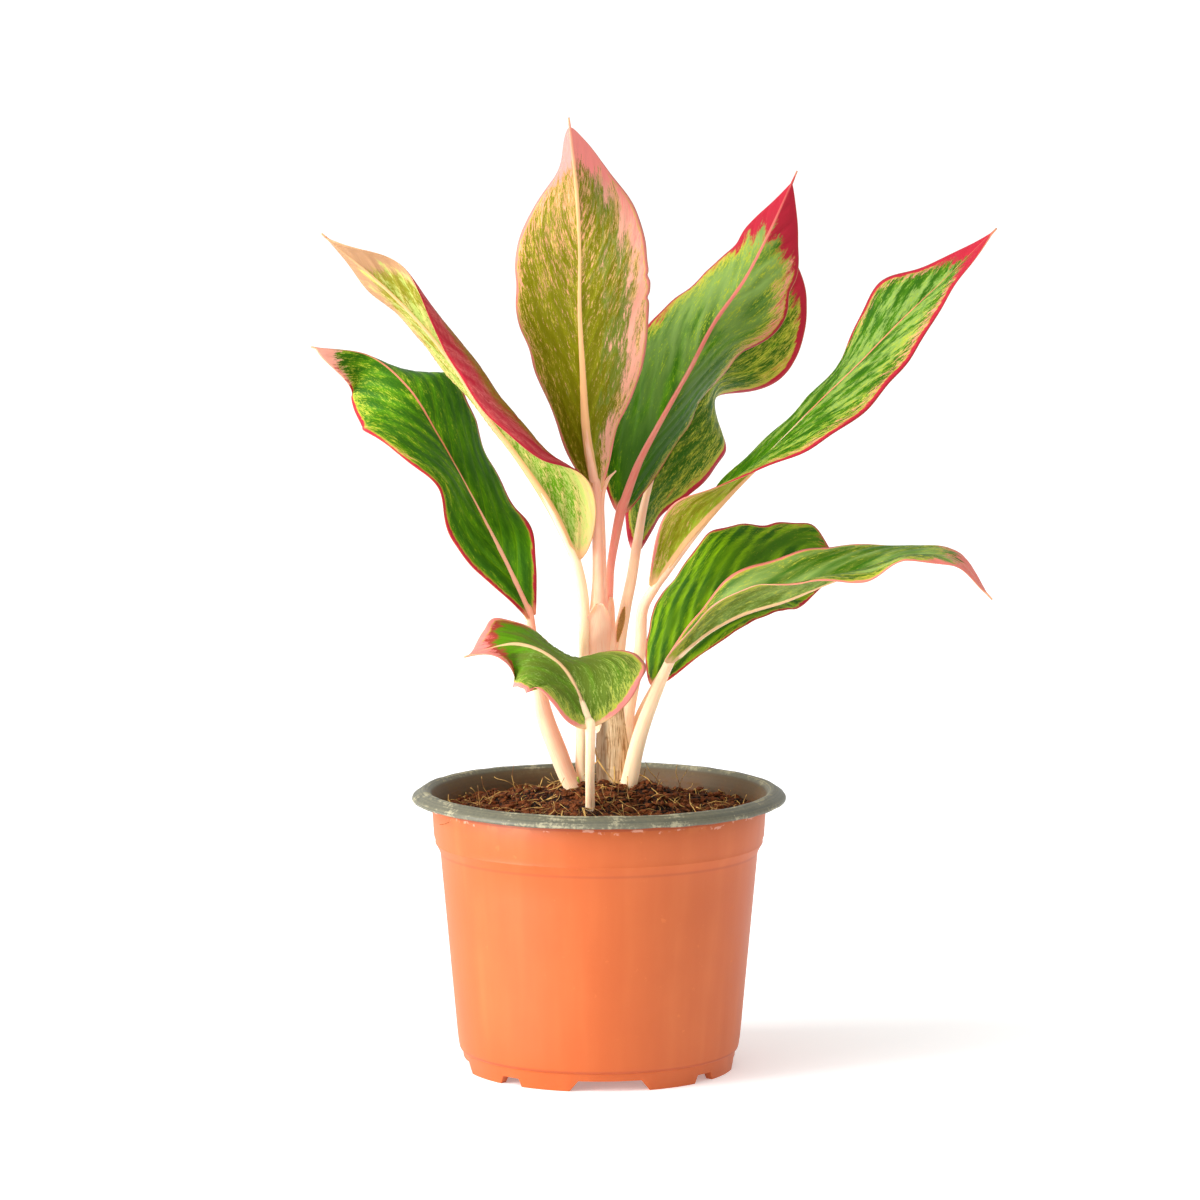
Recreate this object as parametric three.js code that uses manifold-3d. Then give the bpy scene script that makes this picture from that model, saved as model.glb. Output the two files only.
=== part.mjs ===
// A red chinese evergreen in its two-layer nursery pot: nine leaves on their stalks, soil, liner and outer shell.
// Millimetres, +Z up. The viewer stands on the -Y side. Lengths below are measured from the pot's axis at floor
// level, and the whole group is then shifted so that the middle of its box stands over the origin.
import * as THREE from "three";
import { mergeVertices } from "three/addons/utils/BufferGeometryUtils.js";
import Module from "manifold-3d";

const wasm = await Module();
wasm.setup();

// Where the pot's axis stands in the part's own frame.
const POT_AXIS_X = -17.1;
const POT_AXIS_Y = -6.1;

// Pot: radii and heights of its outside.
const RIM_RADIUS = 60;
const RIM_TOP = 90;
const SHOULDER_RADIUS = 53.6;
const SHOULDER_TOP = 85.2;
const SHOULDER_FOOT = 75.5;
const WALL_TOP_RADIUS = 50.9;
const WALL_TOP = 70;
const WALL_FOOT_RADIUS = 45.3;
const WALL_FOOT = 12;
const FOOT_RADIUS = 42.9;
const FOOT_TOP_RADIUS = 43.7;
const FOOT_TOP = 10.4;
const FOOT_CREASE = 6;
const FOOT_RING_WIDTH = 1.8;
const FLOOR_UNDERSIDE = 4;
const SKIN = 0.8;
const CLEARANCE = 0.3;
const POT_SIDES = 48;

// The liner's rolled rim, from its inner foot over the top to its outer lip: distance in from the rim's widest
// place, and distance below its top.
const RIM_SECTION = [
  [6.6, 1.8],
  [5.4, 1.3],
  [1.1, 3.9],
  [0.8, 5.4],
  [0, 5.4],
  [0, 3.8],
  [0.5, 2.9],
  [4.8, 0.2],
  [5.8, 0],
  [6.8, 0.6],
  [7.6, 2.4],
];

// Drain notches in the foot ring: wide ones and small ones take turns.
const NOTCH_PAIRS = 4;
const WIDE_NOTCH = { width: 20, height: 3.4, flare: 3 };
const SMALL_NOTCH = { width: 6.4, height: 2.6, flare: 1 };
const FIRST_WIDE_NOTCH_DEG = -85;
const NOTCH_STEP_DEG = 45.5;
const NOTCH_REACH = 8;
const NOTCH_OVERSHOOT = 2;

// Soil: level at the wall, and the mound round the stems.
const SOIL_LEVEL = 82.4;
const MOUND_HEIGHT = 7.6;
const MOUND_CENTRE = [4, 7];
const MOUND_SPREAD = 19;
const CRUMB_HEIGHT = 0.9;
const CRUMB_WAVE_X = { waves: 0.55, swirl: 1.3, swirlWaves: 0.31 };
const CRUMB_WAVE_Y = { waves: 0.62, swirl: 1.1, swirlWaves: 0.37 };
const SOIL_EDGE_FADE = 6;
const SOIL_RINGS = 9;
const SOIL_SIDES = 40;
const STEM_HOLE_GAP = 0.35;

// Leaves.
const BLADE_THICKNESS = 0.8;
const BLADE_STEPS = 16;
const HALF_STEPS = 4;
const FULLNESS = 1.7;
const MARGIN_AT_TIP = 0.45;
const NECK_HALF_WIDTH = 1.6;
const RIB_HALF_WIDTH = 1.5;
const RIB_DEPTH = 1.7;
const RIB_NARROWING = 0.8;
const RIB_FLATTENING = 0.85;
const STALK_SIDES = 8;
const STALK_STEPS = 10;

// A leaf's run holds one row for each point of its midrib, from the stalk to the tip: x, y, z, and how far the
// left and the right half lean back from a flat leaf that faces the viewer, in degrees. A lean below zero comes
// forward. curl is how far each half bends over its width, and underside is the side of the raised rib.
const LEAVES = {
  leaf_upright: {
    halfWidth: [20.5, 21.5],
    widest: 0.55,
    curl: [20, 20],
    underside: "front",
    run: [
      [-1, -2, 186, 25, 25],
      [-4, -7, 205, 40, 30],
      [-5, -12, 225, 30, 5],
      [-6, -18, 244, 15, 5],
      [-6, -24, 264, 15, 0],
      [-7, -31, 283, 65, 42],
      [-9, -37, 302, 70, 65],
    ],
  },
  leaf_left: {
    halfWidth: [20.5, 20],
    widest: 0.58,
    curl: [25, 25],
    underside: "back",
    run: [
      [-22, 10, 144, -60, 20],
      [-29, 9, 160, -40, 0],
      [-36, 8, 174, -44, 48],
      [-44, 9, 189, -68, 60],
      [-52, 11, 203, -50, 55],
      [-61, 16, 217, -10, 50],
      [-74, 24, 227, -10, 105],
      [-91, 19, 230, -40, 100],
    ],
  },
  leaf_left_twisted: {
    halfWidth: [17, 24],
    widest: 0.46,
    curl: [25, -140],
    underside: "front",
    run: [
      [-7, -2, 164, 80, -20],
      [-15, -8, 181, 85, -20],
      [-25, -12, 197, 85, -68],
      [-36, -16, 212, 85, -84],
      [-46, -19, 228, 72, -88],
      [-57, -23, 242, 72, -78],
      [-70, -26, 255, 58, -40],
      [-84, -29, 267, 70, -60],
    ],
  },
  leaf_back_right: {
    halfWidth: [21, 22],
    widest: 0.46,
    curl: [25, 25],
    underside: "back",
    run: [
      [7, 6, 178, 40, 60],
      [13, 9, 194, 20, 60],
      [21, 11, 209, 25, 63],
      [29, 14, 223, 20, 65],
      [37, 18, 238, 43, 50],
      [47, 23, 252, 52, 5],
      [55, 27, 267, 48, 14],
      [62, 31, 282, 60, 20],
    ],
  },
  leaf_behind: {
    halfWidth: [20, 23],
    widest: 0.54,
    curl: [25, 25],
    underside: "back",
    run: [
      [12, 10, 166, 45, 60],
      [15, 20, 181, 60, 60],
      [20, 30, 195, 60, 28],
      [28, 38, 208, 55, 33],
      [37, 44, 221, 50, 70],
      [47, 50, 234, 50, 10],
      [55, 56, 248, 45, 0],
      [60, 61, 263, 50, 30],
    ],
  },
  leaf_right: {
    halfWidth: [19, 21],
    widest: 0.47,
    curl: [25, 25],
    underside: "back",
    run: [
      [17, 0, 155, 80, -130],
      [29, -1, 171, 85, -150],
      [41, -2, 185, 80, -108],
      [55, -1, 199, 84, -80],
      [69, 1, 213, 86, -63],
      [83, 5, 226, 78, -60],
      [97, 8, 240, 42, -62],
      [111, 10, 253, 45, -74],
      [125, 10, 267, 70, -70],
    ],
  },
  leaf_low_back: {
    halfWidth: [21, 21],
    widest: 0.5,
    curl: [25, 25],
    underside: "back",
    run: [
      [18, 10, 122, 60, -50],
      [25, 19, 133, 60, -55],
      [33, 28, 142, 55, -55],
      [43, 39, 150, 55, -50],
      [55, 51, 155, 35, -46],
      [69, 63, 157, 40, -60],
      [81, 70, 151, 50, -60],
    ],
  },
  leaf_low_right: {
    halfWidth: [17, 17],
    widest: 0.53,
    curl: [25, 25],
    underside: "back",
    run: [
      [22, 0, 131, 60, -120],
      [33, -6, 141, 55, -115],
      [45, -11, 148, 30, -125],
      [59, -16, 153, 45, -120],
      [72, -21, 159, 60, -104],
      [85, -25, 164, 75, -85],
      [98, -28, 168, 85, -90],
      [112, -31, 167, 80, -80],
      [121, -33, 157, 80, -80],
    ],
  },
  leaf_front: {
    halfWidth: [18, 26],
    widest: 0.38,
    curl: [25, 25],
    underside: "front",
    run: [
      [-3, -33, 114, -50, 10],
      [-6, -30, 122, -58, 8],
      [-9, -26, 128, -50, 33],
      [-13, -24, 133, -50, 84],
      [-19, -22, 137, -42, 96],
      [-26, -21, 139, -20, 66],
      [-33, -22, 138, -75, 62],
      [-41, -25, 136, -90, 80],
    ],
  },
};

// Stalks: each row is x, y, z, radius across, radius front to back. They run from the stem or the soil to a blade.
const MAIN_STEM = {
  cane: [
    [4.8, 10, 60, 4, 4],
    [4.8, 10, 88, 4.6, 4.4],
    [4.8, 9, 107, 4.8, 4.4],
    [4, 8, 122, 3.4, 3.2],
  ],
  leaf_left: [
    [3, 10, 78, 2.4, 2.2],
    [-6, 9, 86, 2.8, 2.6],
    [-10, 9, 92, 2.9, 2.6],
    [-13.5, 9, 101, 3, 2.4],
    [-17.5, 9, 112, 2.8, 2.2],
    [-20.3, 9.5, 126, 2, 1.8],
    [-20.7, 10.1, 140.2, 1.6, 1.5],
    [-21.9, 10, 143.6, 1.5, 1.5],
  ],
  leaf_left_twisted: [
    [4, 10, 80, 2, 2],
    [-3, 11, 87, 2, 2],
    [-5.5, 11, 94, 2, 2],
    [-5.5, 10, 104, 2, 2],
    [-5.5, 8, 118, 1.9, 1.9],
    [-4.8, 4, 134, 1.7, 1.7],
    [-5.1, 1, 151, 1.8, 1.6],
    [-5.5, -0.8, 160.4, 2.2, 1.6],
    [-6.9, -1.9, 163.6, 2, 1.5],
  ],
  leaf_upright: [
    [4, 9, 98, 2.8, 2.4],
    [1.5, 8, 112, 3.2, 2.6],
    [-0.3, 5, 133, 3.1, 2.2],
    [-0.2, 3, 146, 2.8, 2],
    [-0.3, 1, 160, 1.8, 1.7],
    [-0.4, -0.8, 180.5, 1.6, 1.6],
    [-1, -1.9, 185.6, 1.5, 1.5],
  ],
  leaf_back_right: [
    [4.5, 9.5, 98, 2.4, 2.2],
    [3, 8.5, 118, 2.2, 2],
    [2.4, 7, 134, 1.8, 1.8],
    [3.2, 6.5, 153, 1.4, 1.4],
    [4, 5.6, 163, 1.3, 1.3],
    [5.2, 4.9, 172.8, 1.3, 1.3],
    [6.9, 5.9, 177.6, 1.4, 1.4],
  ],
  leaf_behind: [
    [5, 10, 96, 2.8, 2.6],
    [5, 10.5, 118, 2.8, 2.4],
    [6, 10, 134, 2.5, 2.2],
    [8.3, 10, 146.3, 1.9, 1.8],
    [10.3, 9.4, 156, 1.7, 1.7],
    [11.3, 7.8, 162.5, 1.6, 1.6],
    [11.9, 9.8, 165.6, 1.6, 1.6],
  ],
  leaf_right: [
    [5, 10, 94, 2.8, 2.6],
    [7.7, 9, 105, 2.6, 2.4],
    [9.9, 7.5, 117.5, 2.2, 2.1],
    [13.1, 4, 134, 1.9, 1.9],
    [13.8, 1.2, 147, 1.8, 1.8],
    [14.6, 0.2, 151.8, 1.8, 1.8],
    [16.7, 0, 154.6, 1.8, 1.7],
  ],
  leaf_low_back: [
    [5, 10, 84, 1.8, 1.8],
    [8, 12, 94, 1.7, 1.7],
    [10, 12, 102, 1.6, 1.6],
    [13.2, 10.4, 112, 1.5, 1.5],
    [16.2, 7.7, 119.2, 1.4, 1.4],
    [17.8, 9.7, 121.6, 1.4, 1.4],
  ],
  leaf_low_right: [
    [5, 10, 78, 2.4, 2.4],
    [9.4, 6, 90, 2.7, 2.5],
    [11.9, 4.2, 101.7, 2.5, 2.3],
    [15.4, 2.2, 113.3, 2.2, 2],
    [19.2, 1.5, 128.3, 1.8, 1.7],
    [21.6, 0.2, 130.6, 1.7, 1.6],
  ],
  bract: [
    [2.2, 4, 140, 1.2, 1.2],
    [1.6, 2.4, 154, 1, 1],
    [1.2, 1.6, 170, 0.9, 0.9],
    [0.9, 1.2, 182, 0.8, 0.8],
    [2.4, 1.6, 188.5, 0.7, 0.7],
    [5.4, 1.8, 191.7, 0.3, 0.3],
  ],
};
const FRONT_STEM = {
  leaf_front: [
    [-2.9, -21, 74, 1.9, 1.9],
    [-2.9, -22, 88, 1.8, 1.8],
    [-2.2, -28, 99, 1.6, 1.6],
    [-1.7, -34.3, 110.5, 1.5, 1.5],
    [-2.9, -33.1, 113.6, 1.5, 1.5],
  ],
};

const COLOURS = {
  shell: ["#c9602f", 0.45],
  liner: ["#4d5450", 0.7],
  soil: ["#3b2319", 1],
  stalk: ["#efd9ae", 0.5],
  blade: ["#3f7429", 0.4],
};

function material(name, key) {
  const [color, roughness] = COLOURS[key];
  return new THREE.MeshStandardMaterial({ name, color, roughness, metalness: 0, side: THREE.FrontSide });
}

function solidOf(geometry) {
  const bare = new THREE.BufferGeometry();
  bare.setAttribute("position", geometry.getAttribute("position"));
  bare.setIndex(geometry.getIndex());
  const merged = mergeVertices(bare, 1e-3);
  return new wasm.Manifold(
    new wasm.Mesh({
      numProp: 3,
      vertProperties: merged.attributes.position.array,
      triVerts: new Uint32Array(merged.index.array),
    }),
  );
}

function geometryOf(solid) {
  const mesh = solid.getMesh();
  const geometry = new THREE.BufferGeometry();
  geometry.setAttribute("position", new THREE.BufferAttribute(mesh.vertProperties, 3));
  geometry.setIndex(new THREE.BufferAttribute(mesh.triVerts, 1));
  geometry.computeVertexNormals();
  return geometry;
}

function lathe(profile, sides) {
  const points = profile.map(([r, z]) => new THREE.Vector2(r, z));
  return new THREE.LatheGeometry(points, sides).rotateX(Math.PI / 2);
}

// A smooth curve through rows of equal length, read at 0 to 1: every column of the rows is carried along.
function alongRows(rows) {
  const places = new THREE.CatmullRomCurve3(
    rows.map(([x, y, z]) => new THREE.Vector3(x, y, z)),
    false,
    "catmullrom",
  );
  const extras = new THREE.CatmullRomCurve3(
    rows.map(([, , , a, b]) => new THREE.Vector3(a, b, 0)),
    false,
    "catmullrom",
  );
  return { places, extras };
}

// Directions at a place on a run: along it, to its left as the viewer sees it, and away from the viewer.
function frameAt(places, t) {
  const along = places.getTangent(t);
  const left = new THREE.Vector3().crossVectors(along, new THREE.Vector3(0, 1, 0)).normalize();
  const back = new THREE.Vector3().crossVectors(left, along);
  return { along, left, back };
}

// A cylinder bent along a run, with a section that follows the run's two radii.
function stalkGeometry(rows, grow = 0) {
  const { places, extras } = alongRows(rows);
  const tube = new THREE.CylinderGeometry(1, 1, 1, STALK_SIDES, STALK_STEPS);
  const position = tube.getAttribute("position");
  for (let i = 0; i < position.count; i++) {
    const t = Math.min(1, Math.max(0, position.getY(i) + 0.5));
    const { left, back } = frameAt(places, t);
    const radii = extras.getPoint(t);
    const point = places
      .getPoint(t)
      .addScaledVector(left, -position.getX(i) * (radii.x + grow))
      .addScaledVector(back, -position.getZ(i) * (radii.y + grow));
    position.setXYZ(i, point.x, point.y, point.z);
  }
  return tube;
}

function joined(runs, grow = 0) {
  return Object.values(runs)
    .map((rows) => solidOf(stalkGeometry(rows, grow)))
    .reduce((all, next) => all.add(next));
}

// Half the blade's width at t, as a share of its widest place.
function bladeShare(t, widest) {
  const base = FULLNESS * widest;
  const tip = FULLNESS * (1 - widest);
  return Math.pow(t / widest, base) * Math.pow((1 - t) / (1 - widest), tip);
}

function halfWidthAt(leaf, side, t) {
  const neck = NECK_HALF_WIDTH * Math.pow(1 - t, 4);
  return leaf.halfWidth[side] * bladeShare(t, leaf.widest) + neck + MARGIN_AT_TIP;
}

// A point of one half, s from the midrib (0) to the margin (1), with the blade's normal there.
function bladePoint(leaf, curve, t, side, s) {
  const { left, back } = frameAt(curve.places, t);
  const outward = side === 0 ? 1 : -1;
  const width = halfWidthAt(leaf, side, t);
  const lean = THREE.MathUtils.degToRad(curve.extras.getPoint(t).getComponent(side));
  const curl = THREE.MathUtils.degToRad(leaf.curl[side]) * Math.sin(Math.PI * t);
  const start = lean - curl / 2;
  const angle = start + curl * s;
  const chord = Math.abs(curl) < 1e-6 ? width * s : (2 * width * Math.sin((curl * s) / 2)) / curl;
  const heading = start + (curl * s) / 2;
  const point = curve.places
    .getPoint(t)
    .addScaledVector(left, outward * chord * Math.cos(heading))
    .addScaledVector(back, chord * Math.sin(heading));
  const normal = new THREE.Vector3()
    .addScaledVector(left, -outward * Math.sin(angle))
    .addScaledVector(back, Math.cos(angle));
  return { point, normal };
}

// One blade: two like grids, a thickness apart, closed round their border. The midrib swells on the underside.
function bladeGeometry(leaf) {
  const curve = alongRows(leaf.run);
  const under = leaf.underside === "back" ? 1 : -1;
  const columns = [];
  for (let k = HALF_STEPS; k >= 1; k--) {
    columns.push([0, k]);
  }
  columns.push([2, 0]);
  for (let k = 1; k <= HALF_STEPS; k++) {
    columns.push([1, k]);
  }
  const front = [];
  const behind = [];
  for (let row = 0; row <= BLADE_STEPS; row++) {
    const t = row / BLADE_STEPS;
    const ribWidth = RIB_HALF_WIDTH * (1 - RIB_NARROWING * t);
    const swell = RIB_DEPTH * (1 - RIB_FLATTENING * t);
    for (const [side, k] of columns) {
      const half = side === 2 ? 0 : side;
      const width = halfWidthAt(leaf, half, t);
      const first = Math.min(0.5, ribWidth / width);
      const s = k === 0 ? 0 : first + ((1 - first) * (k - 1)) / (HALF_STEPS - 1);
      const { point, normal } = bladePoint(leaf, curve, t, half, s);
      if (k === 0) {
        const other = bladePoint(leaf, curve, t, 1, 0);
        normal.add(other.normal).normalize();
      }
      const ridge = k === 0 ? swell : 0;
      const offset = BLADE_THICKNESS / 2;
      front.push(point.clone().addScaledVector(normal, -offset - (under < 0 ? ridge : 0)));
      behind.push(point.clone().addScaledVector(normal, offset + (under > 0 ? ridge : 0)));
    }
  }
  return closedSheet(front, behind, columns.length);
}

function closedSheet(front, behind, across) {
  const rows = front.length / across;
  const shift = front.length;
  const index = [];
  const quad = (a, b, c, d) => index.push(a, b, c, a, c, d);
  for (let r = 0; r + 1 < rows; r++) {
    for (let c = 0; c + 1 < across; c++) {
      const a = r * across + c;
      const b = a + 1;
      const u = a + across;
      const v = u + 1;
      quad(a, b, v, u);
      quad(shift + a, shift + u, shift + v, shift + b);
    }
  }
  const border = [];
  for (let c = 0; c + 1 < across; c++) {
    border.push(c);
  }
  for (let r = 0; r + 1 < rows; r++) {
    border.push(r * across + across - 1);
  }
  for (let c = across - 1; c > 0; c--) {
    border.push((rows - 1) * across + c);
  }
  for (let r = rows - 1; r > 0; r--) {
    border.push(r * across);
  }
  border.forEach((a, i) => {
    const b = border[(i + 1) % border.length];
    quad(b, a, shift + a, shift + b);
  });
  const geometry = new THREE.BufferGeometry();
  geometry.setAttribute(
    "position",
    new THREE.Float32BufferAttribute([...front, ...behind].flatMap((p) => [p.x, p.y, p.z]), 3),
  );
  geometry.setIndex(index);
  geometry.computeVertexNormals();
  return geometry;
}

const OUTSIDE = [
  [FOOT_RADIUS, 0],
  [FOOT_RADIUS + 0.2, FOOT_CREASE - 0.4],
  [FOOT_RADIUS - 0.3, FOOT_CREASE],
  [FOOT_RADIUS + 0.3, FOOT_CREASE + 0.4],
  [FOOT_TOP_RADIUS, FOOT_TOP],
  [FOOT_TOP_RADIUS + 0.9, FOOT_TOP + 0.5],
  [WALL_FOOT_RADIUS, WALL_FOOT],
  [WALL_TOP_RADIUS, WALL_TOP],
  [WALL_TOP_RADIUS + 0.5, WALL_TOP + 1.4],
  [SHOULDER_RADIUS - 1.1, SHOULDER_FOOT - 2.4],
  [SHOULDER_RADIUS - 0.6, SHOULDER_FOOT],
  [SHOULDER_RADIUS, SHOULDER_TOP],
];
const WALL_INSIDE = [
  [SHOULDER_RADIUS, SHOULDER_TOP],
  [SHOULDER_RADIUS - 0.6, SHOULDER_FOOT],
  [WALL_TOP_RADIUS, WALL_TOP],
  [WALL_FOOT_RADIUS, WALL_FOOT],
];

// The pot's inner outline, a given distance in from its outside, from the top down to the floor and the axis.
function inward(distance, floor, top) {
  const wall = WALL_INSIDE.map(([r, z]) => [r - distance, z]);
  wall[0][1] = top;
  return [...wall, [FOOT_TOP_RADIUS - distance - 0.6, floor], [0, floor]];
}

const SHELL_FLOOR = FLOOR_UNDERSIDE + SKIN;
const LINER_FLOOR = SHELL_FLOOR + CLEARANCE;
const SOIL_FLOOR = LINER_FLOOR + SKIN + CLEARANCE;

function notch(size, angleDeg) {
  const { width, height, flare } = size;
  const outline = new THREE.Shape([
    new THREE.Vector2(-width / 2 - flare, -1),
    new THREE.Vector2(width / 2 + flare, -1),
    new THREE.Vector2(width / 2 + flare * 0.6, height * 0.35),
    new THREE.Vector2(width / 2, height),
    new THREE.Vector2(-width / 2, height),
    new THREE.Vector2(-width / 2 - flare * 0.6, height * 0.35),
  ]);
  return new THREE.ExtrudeGeometry(outline, { depth: NOTCH_REACH, bevelEnabled: false })
    .rotateX(Math.PI / 2)
    .translate(0, NOTCH_REACH - NOTCH_OVERSHOOT - FOOT_RADIUS, 0)
    .rotateZ(THREE.MathUtils.degToRad(angleDeg + 90));
}

function potShell() {
  const profile = [
    [0, FLOOR_UNDERSIDE],
    [FOOT_RADIUS - FOOT_RING_WIDTH - 0.8, FLOOR_UNDERSIDE],
    [FOOT_RADIUS - FOOT_RING_WIDTH, 0],
    ...OUTSIDE,
    ...inward(SKIN, SHELL_FLOOR, SHOULDER_TOP),
  ];
  let shell = solidOf(lathe(profile, POT_SIDES));
  for (let i = 0; i < NOTCH_PAIRS; i++) {
    const wide = FIRST_WIDE_NOTCH_DEG + i * 90;
    shell = shell.subtract(solidOf(notch(WIDE_NOTCH, wide)));
    shell = shell.subtract(solidOf(notch(SMALL_NOTCH, wide + NOTCH_STEP_DEG)));
  }
  return geometryOf(shell);
}

function potLiner() {
  const outer = SKIN + CLEARANCE;
  const inner = outer + SKIN;
  const profile = [
    ...inward(outer, LINER_FLOOR, SHOULDER_TOP).reverse(),
    ...RIM_SECTION.map(([inset, drop]) => [RIM_RADIUS - inset, RIM_TOP - drop]),
    ...inward(inner, LINER_FLOOR + SKIN, SHOULDER_TOP - 0.6),
  ];
  return lathe(profile, POT_SIDES);
}

function crumbs(along, across, { waves, swirl, swirlWaves }) {
  return Math.sin(waves * along + swirl * Math.sin(swirlWaves * across));
}

// Height of the soil over a place: the mound, and lumps that fade out at the wall.
function soilHeight(x, y, wall) {
  const away = Math.hypot(x - MOUND_CENTRE[0], y - MOUND_CENTRE[1]) / MOUND_SPREAD;
  const mound = MOUND_HEIGHT * Math.exp(-away * away);
  const lumps = crumbs(x, y, CRUMB_WAVE_X) + crumbs(y, x, CRUMB_WAVE_Y);
  const fade = Math.min(1, (wall - Math.hypot(x, y)) / SOIL_EDGE_FADE);
  return SOIL_LEVEL + (mound + CRUMB_HEIGHT * lumps) * Math.max(0, fade);
}

function soilBody() {
  const inset = 2 * (SKIN + CLEARANCE);
  const side = inward(inset, SOIL_FLOOR, SOIL_LEVEL).reverse();
  const wall = side[side.length - 1][0];
  const top = [];
  for (let ring = 1; ring <= SOIL_RINGS; ring++) {
    top.push([wall * (1 - ring / SOIL_RINGS), SOIL_LEVEL]);
  }
  const soil = lathe([...side, ...top], SOIL_SIDES);
  const position = soil.getAttribute("position");
  for (let i = 0; i < position.count; i++) {
    const [x, y, z] = [position.getX(i), position.getY(i), position.getZ(i)];
    if (z > SOIL_LEVEL - 0.01) {
      position.setZ(i, soilHeight(x, y, wall));
    }
  }
  const holes = joined({ ...MAIN_STEM, ...FRONT_STEM }, STEM_HOLE_GAP);
  return geometryOf(solidOf(soil).subtract(holes));
}

const plant = new THREE.Group();
plant.position.set(POT_AXIS_X, POT_AXIS_Y, 0);

function add(name, geometry, colour) {
  const mesh = new THREE.Mesh(geometry, material(name, colour));
  mesh.name = name;
  plant.add(mesh);
}

add("pot_shell", potShell(), "shell");
add("pot_liner", potLiner(), "liner");
add("soil", soilBody(), "soil");
add("main_stem", geometryOf(joined(MAIN_STEM)), "stalk");
add("front_stem", geometryOf(joined(FRONT_STEM)), "stalk");
for (const [name, leaf] of Object.entries(LEAVES)) {
  add(name, bladeGeometry(leaf), "blade");
}

const part = new THREE.Group();
part.name = "potted_chinese_evergreen";
part.add(plant);

export default part;
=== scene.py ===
import math
import random

import bmesh
import bpy
from mathutils import Matrix, Vector, noise


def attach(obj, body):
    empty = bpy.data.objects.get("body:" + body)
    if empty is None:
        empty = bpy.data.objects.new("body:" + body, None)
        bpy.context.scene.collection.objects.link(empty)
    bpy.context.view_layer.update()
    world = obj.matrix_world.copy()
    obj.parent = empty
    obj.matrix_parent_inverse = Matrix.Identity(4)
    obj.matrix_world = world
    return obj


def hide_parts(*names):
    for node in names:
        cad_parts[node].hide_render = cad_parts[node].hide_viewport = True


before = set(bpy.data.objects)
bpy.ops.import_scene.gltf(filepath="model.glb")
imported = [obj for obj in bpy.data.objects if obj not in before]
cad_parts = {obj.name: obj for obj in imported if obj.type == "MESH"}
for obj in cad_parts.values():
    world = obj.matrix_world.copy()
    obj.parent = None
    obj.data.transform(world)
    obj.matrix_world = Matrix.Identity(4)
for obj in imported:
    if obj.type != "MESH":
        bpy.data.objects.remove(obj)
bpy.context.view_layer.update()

bl_info = {
    "name": "Potted Red Chinese Evergreen",
    "version": (1, 0, 0),
    "blender": (4, 5, 0),
    "location": "3D View > Sidebar > Evergreen",
    "description": "Builds a red-edged chinese evergreen in its nursery pot",
    "category": "Add Mesh",
}

MM = 0.001
BODY = "root"
SLOTS = {"pot_shell": "shell_plastic", "pot_liner": "liner_plastic", "soil": "potting_soil"}
SLOTS |= {"main_stem": "stalk_skin", "front_stem": "stalk_skin"}

# The pot's axis in the row frame. Places in the tables below are in millimetres from its foot on the floor.
POT_AXIS = Vector((-17.1, -6.1, 0.0))
AWAY_FROM_VIEWER = Vector((0.0, 1.0, 0.0))


def blade_shape(half_width, widest, drip, *run, curl=(25, 25), under_in_front=False, nicks=()):
    """A blade: half its width left and right, the share of its length where it is widest, and its drip tip.

    The run is its midrib from stalk to tip: x, y, z, and how far the left and right half lean back, in
    degrees. Curl is how far each half curls across its width, in degrees, and under_in_front says that its
    underside faces the viewer. Nicks are corners and dents of a margin: half (0 left, 1 right), share of the
    length, size outwards and spread.
    """
    return {
        "half_width": half_width, "widest": widest, "drip": drip, "run": run, "curl": curl, "nicks": nicks,
        "under_in_front": under_in_front,
    }


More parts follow.
